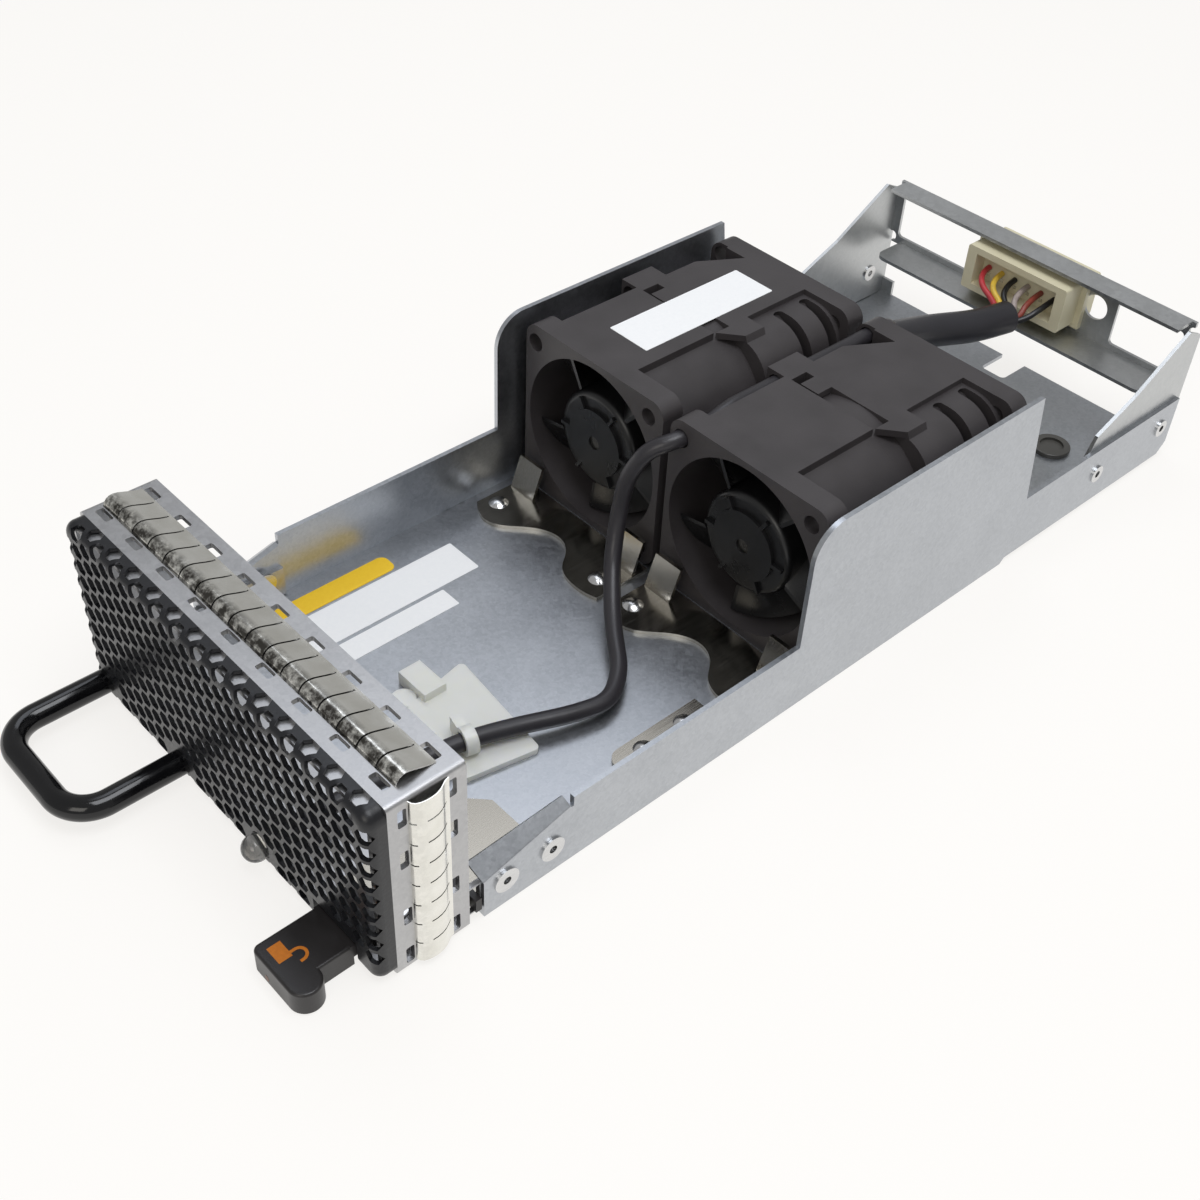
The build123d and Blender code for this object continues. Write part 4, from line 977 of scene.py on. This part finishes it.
# %% Ink
def ink_finish(name, code, shade):
    """Pad-printing ink, slightly uneven where the pad lifted."""
    finish, tree, shader, place = new_finish(name, {"Roughness": 0.45, "IOR": 1.5})
    specks = add_node(
        tree, "ShaderNodeTexNoise", {"Scale": per(0.6), "Detail": 3.0}, {"Vector": place}
    )
    tint = add_node(
        tree,
        "ShaderNodeMix",
        {"data_type": "RGBA", 6: colour(shade), 7: colour(code)},
        {0: specks.outputs["Fac"]},
    )
    tree.links.new(tint.outputs[2], shader.inputs["Base Color"])
    return finish


orange_ink = ink_finish("orange pad-printing ink", "#cf7a17", "#b0610c")
faded_ink = ink_finish("rubbed orange ink", "#8a6450", "#5c4a42")
print("inks:", orange_ink.name, "|", faded_ink.name)

# %% Padlock
LEVER_TOP = 5.0
INK = 0.03
LOCK_X = (29.4, 33.0)
LOCK_DEPTHS = (-14.6, -12.1)
SHACKLE_X = (31.95, 32.5)
SHACKLE_MIDDLE = (33.45, -11.2)
SHACKLE_LEG = 0.9
SHACKLE_TIP = 0.55
lock_corners = lying_corners(*LOCK_X, *LOCK_DEPTHS, LEVER_TOP)
lock_body = flat_outline(lock_corners, (0, 0, mm(INK)), 0)
new_piece("padlock_body", lock_body, orange_ink, body_of["lock_lever"])

shackle = bmesh.new()
ink_top = LEVER_TOP + INK
bar = [shackle.verts.new(spot(x, LOCK_DEPTHS[1], ink_top)) for x in SHACKLE_X]
first = shackle.edges.new(bar)
straight = bmesh.ops.extrude_edge_only(shackle, edges=[first])
lifted = [g for g in straight["geom"] if isinstance(g, bmesh.types.BMVert)]
bmesh.ops.translate(shackle, verts=lifted, vec=(0, mm(SHACKLE_LEG), 0))
turning = [g for g in straight["geom"] if isinstance(g, bmesh.types.BMEdge)]
bow = bmesh.ops.spin(
    shackle,
    geom=turning + lifted,
    cent=spot(*SHACKLE_MIDDLE, ink_top),
    axis=(0, 0, -1),
    angle=math.pi,
    steps=14,
)
tip = [g for g in bow["geom_last"] if isinstance(g, bmesh.types.BMEdge)]
drawn = bmesh.ops.extrude_edge_only(shackle, edges=tip)
end = [g for g in drawn["geom"] if isinstance(g, bmesh.types.BMVert)]
bmesh.ops.translate(shackle, verts=end, vec=(0, -mm(SHACKLE_TIP), 0))
bmesh.ops.remove_doubles(shackle, verts=shackle.verts, dist=mm(0.001))
bmesh.ops.recalc_face_normals(shackle, faces=shackle.faces)
bmesh.ops.solidify(shackle, geom=shackle.faces[:], thickness=mm(INK))
new_piece("padlock_shackle", shackle, orange_ink, body_of["lock_lever"])
print("padlock drawn in two pieces")

# %% Dot on the lever
THUMB_FRONT = -16.3
DOT_LEFT, DOT_RIGHT = 31.05, 32.05
DOT_LOW, DOT_HIGH = 0.6, 1.9
DOT_ROUNDING = 0.45
dot_corners = [
    spot(DOT_LEFT, THUMB_FRONT, DOT_LOW),
    spot(DOT_RIGHT, THUMB_FRONT, DOT_LOW),
    spot(DOT_RIGHT, THUMB_FRONT, DOT_HIGH),
    spot(DOT_LEFT, THUMB_FRONT, DOT_HIGH),
]
dot = flat_outline(dot_corners, (0, -mm(INK), 0), DOT_ROUNDING)
new_piece("lever_dot", dot, faded_ink, body_of["lock_lever"])
print("dot drawn")

# %% [markdown]
# ## The chip's cup in the lamp
# A clear lamp shows its inside: the chip sits in a small tinned cup on one of the two
# leads, and the other lead ends beside it. The dome enlarges both. The cup is a short
# cone that opens to the front, and both posts are thin blocks cast into the epoxy.

# %% Lamp inside
LAMP_X = 11.2
LAMP_Z = 4.8
CUP_X = LAMP_X - 0.4
CUP_FRONT = -3.4
CUP_BACK = -2.4
CUP_BACK_RADIUS = 0.45
CUP_FRONT_RADIUS = 0.85
POST_BACK = 0.0
POST_HEIGHT = 0.5
# Each post has its place across the lamp, its width and its front end.
posts = ((CUP_X, 0.6, CUP_BACK), (LAMP_X + 0.95, 0.5, -2.9))
inside = bmesh.new()
cup = bmesh.ops.create_cone(
    inside,
    cap_ends=True,
    segments=24,
    radius1=mm(CUP_BACK_RADIUS),
    radius2=mm(CUP_FRONT_RADIUS),
    depth=mm(CUP_BACK - CUP_FRONT),
)["verts"]
bmesh.ops.rotate(inside, verts=cup, cent=(0, 0, 0), matrix=Matrix.Rotation(math.pi / 2, 3, "X"))
bmesh.ops.translate(inside, verts=cup, vec=spot(CUP_X, (CUP_FRONT + CUP_BACK) / 2, LAMP_Z))
for post_x, width, post_front in posts:
    post = bmesh.ops.create_cube(inside, size=1.0)["verts"]
    size = (mm(width), mm(POST_BACK - post_front), mm(POST_HEIGHT))
    bmesh.ops.scale(inside, verts=post, vec=size)
    middle = spot(post_x, (POST_BACK + post_front) / 2, LAMP_Z)
    bmesh.ops.translate(inside, verts=post, vec=middle)
new_piece("lamp_cup", inside, tin_contact, body_of["status_lamp_lens"])
print("lamp's cup and", len(posts), "lead posts")

# %% [markdown]
# ## Spring gaskets
# Strips of bowed spring fingers run along the bezel's top and right side, and press on
# the neighbours to seal it electrically. A strip is stamped from one foil: its section
# is drawn once, stretched along the strip finger by finger, and the narrow slits are
# cut by leaving faces out. On the top strip the slits run over the whole bow, and on
# the side strip a narrow bridge before the crest joins the fingers. The foil gets its
# thickness last. A bow is a row of points, each a depth and a rise over the bezel.

# %% Finger strips
FOIL = 0.16
TOP_BOW = [
    (3.5, -0.6),
    (3.62, 0.1),
    (3.9, 0.75),
    (4.4, 1.35),
    (5.0, 1.66),
    (5.7, 1.72),
    (6.6, 1.55),
    (7.7, 1.15),
    (8.9, 0.68),
    (9.9, 0.36),
    (10.6, 0.24),
    (11.1, 0.2),
]
SIDE_BOW = [
    (3.5, -0.6),
    (3.62, 0.1),
    (3.85, 0.75),
    (4.3, 1.2),
    (5.0, 1.5),
    (5.9, 1.68),
    (6.9, 1.72),
    (7.9, 1.6),
    (8.8, 1.3),
    (9.6, 0.86),
    (10.3, 0.42),
    (11.1, 0.2),
]


def finger_strip(name, bow, start, pitch, count, slit, bridge, place, stands_for):
    """A strip of bowed fingers cut from one foil."""
    shape = bmesh.new()
    line = [shape.verts.new(place(start, depth, rise)) for depth, rise in bow]
    edges = [shape.edges.new(pair) for pair in zip(line, line[1:])]
    steps = [pitch - slit, slit] * count
    along = place(1, 0, 0) - place(0, 0, 0)
    slits = []
    for number, step in enumerate(steps[:-1]):
        grown = bmesh.ops.extrude_edge_only(shape, edges=edges)
        edges = [g for g in grown["geom"] if isinstance(g, bmesh.types.BMEdge)]
        ends = [g for g in grown["geom"] if isinstance(g, bmesh.types.BMVert)]
        bmesh.ops.translate(shape, verts=ends, vec=along * step)
        if number % 2:
            slits += [g for g in grown["geom"] if isinstance(g, bmesh.types.BMFace)]
    low, high = (mm(depth - MIDDLE_DEPTH) for depth in bridge)
    cut = [face for face in slits if not low < face.calc_center_median().y < high]
    edge_low, edge_high = (mm(depth - MIDDLE_DEPTH) for depth in (bow[1][0], bow[-2][0]))
    cut = [face for face in cut if edge_low < face.calc_center_median().y < edge_high]
    bmesh.ops.delete(shape, geom=cut, context="FACES")
    bmesh.ops.recalc_face_normals(shape, faces=shape.faces)
    bmesh.ops.solidify(shape, geom=shape.faces[:], thickness=mm(FOIL))
    strip = new_piece(name, shape, finishes[stands_for], body_of[stands_for])
    smooth(strip, 40)
    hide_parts(stands_for)


BEZEL_TOP = 39.9
BEZEL_SIDE = 43.7
finger_strip(
    "top_finger_strip",
    TOP_BOW,
    start=-42.0,
    pitch=4.9,
    count=17,
    slit=0.35,
    bridge=(0, 0),
    place=lambda along, depth, rise: spot(along, depth, BEZEL_TOP + rise),
    stands_for="top_gasket",
)
finger_strip(
    "side_finger_strip",
    SIDE_BOW,
    start=1.3,
    pitch=4.78,
    count=8,
    slit=0.3,
    bridge=(4.2, 6.0),
    place=lambda along, depth, rise: spot(BEZEL_SIDE + rise, depth, along),
    stands_for="side_gasket",
)
print("two finger strips")

# %% [markdown]
# ## Coloured wires at the connector
# Behind the fans the sleeve ends, and its wires spread out to the connector's near
# side. Vinyl wire is glossy and evenly coloured through. Each one is a smooth curve with
# a round section, because a curve gives an even wire from four points: the bundle's end,
# a bend, the mouth of the contact and the place inside where the contact grips it.


# %% Wire finishes
def wire_finish(name, code):
    """Glossy vinyl insulation, slightly uneven along its length."""
    finish, tree, shader, place = new_finish(name, {"Roughness": 0.3, "IOR": 1.52})
    marks = add_node(
        tree, "ShaderNodeTexNoise", {"Scale": per(1.5), "Detail": 2.0}, {"Vector": place}
    )
    tint = add_node(
        tree,
        "ShaderNodeHueSaturation",
        {"Color": colour(code), "Saturation": 0.95},
        {},
    )
    value = add_node(
        tree,
        "ShaderNodeMapRange",
        {"From Min": NOISE_LOW, "From Max": NOISE_HIGH, "To Min": 0.85, "To Max": 1.1},
        {"Value": marks.outputs["Fac"]},
    )
    tree.links.new(value.outputs[0], tint.inputs["Value"])
    tree.links.new(tint.outputs[0], shader.inputs["Base Color"])
    return finish


wire_finishes = {
    "red": wire_finish("red vinyl wire", "#b5202a"),
    "yellow": wire_finish("yellow vinyl wire", "#d9b32c"),
    "black": wire_finish("black vinyl wire", "#1b1b1d"),
    "grey": wire_finish("grey vinyl wire", "#a2958f"),
    "brown": wire_finish("red-brown vinyl wire", "#8a3a2c"),
}
print(len(wire_finishes), "wire colours")


# %% Wires
def wire(name, points, radius, finish, body):
    """A round wire along a smooth line through its points."""
    line = bpy.data.curves.new(name, "CURVE")
    line.dimensions = "3D"
    line.bevel_depth = mm(radius)
    line.bevel_resolution = 4
    line.use_fill_caps = True
    spline = line.splines.new("NURBS")
    spline.points.add(len(points) - 1)
    for point, place in zip(spline.points, points):
        point.co = (*spot(*place), 1.0)
    spline.order_u = 3
    spline.use_endpoint_u = True
    line.materials.append(finish)
    piece = bpy.data.objects.new(name, line)
    bpy.context.scene.collection.objects.link(piece)
    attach(piece, body)
    return piece


CONTACT_PITCH = 3.7
CONNECTOR_X = -0.2
WIRE_RADIUS = 0.7
order = ["red", "yellow", "black", "grey", "brown", "black"]
for index, hue in enumerate(order):
    away = index - (len(order) - 1) / 2
    contact_x = CONNECTOR_X + away * CONTACT_PITCH
    route = [
        (4.2 + away * 0.9, 203.0, 22.6),
        (4.3 + away * 1.5, 205.6, 22.7 + 0.5 * (index % 2)),
        (contact_x, 209.2, 24.9),
        (contact_x, 214.6, 25.5),
    ]
    name = f"connector_wire_{index + 1}"
    piece = wire(name, route, WIRE_RADIUS, wire_finishes[hue], body_of["rear_connector"])
    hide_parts("connector_wires")
# The leads between the fans and the sleeve are the same wire, and yellow where they show.
for slot in nodes["fan_leads"].material_slots:
    slot.material = wire_finishes["yellow"]
print(len(order), "wires")
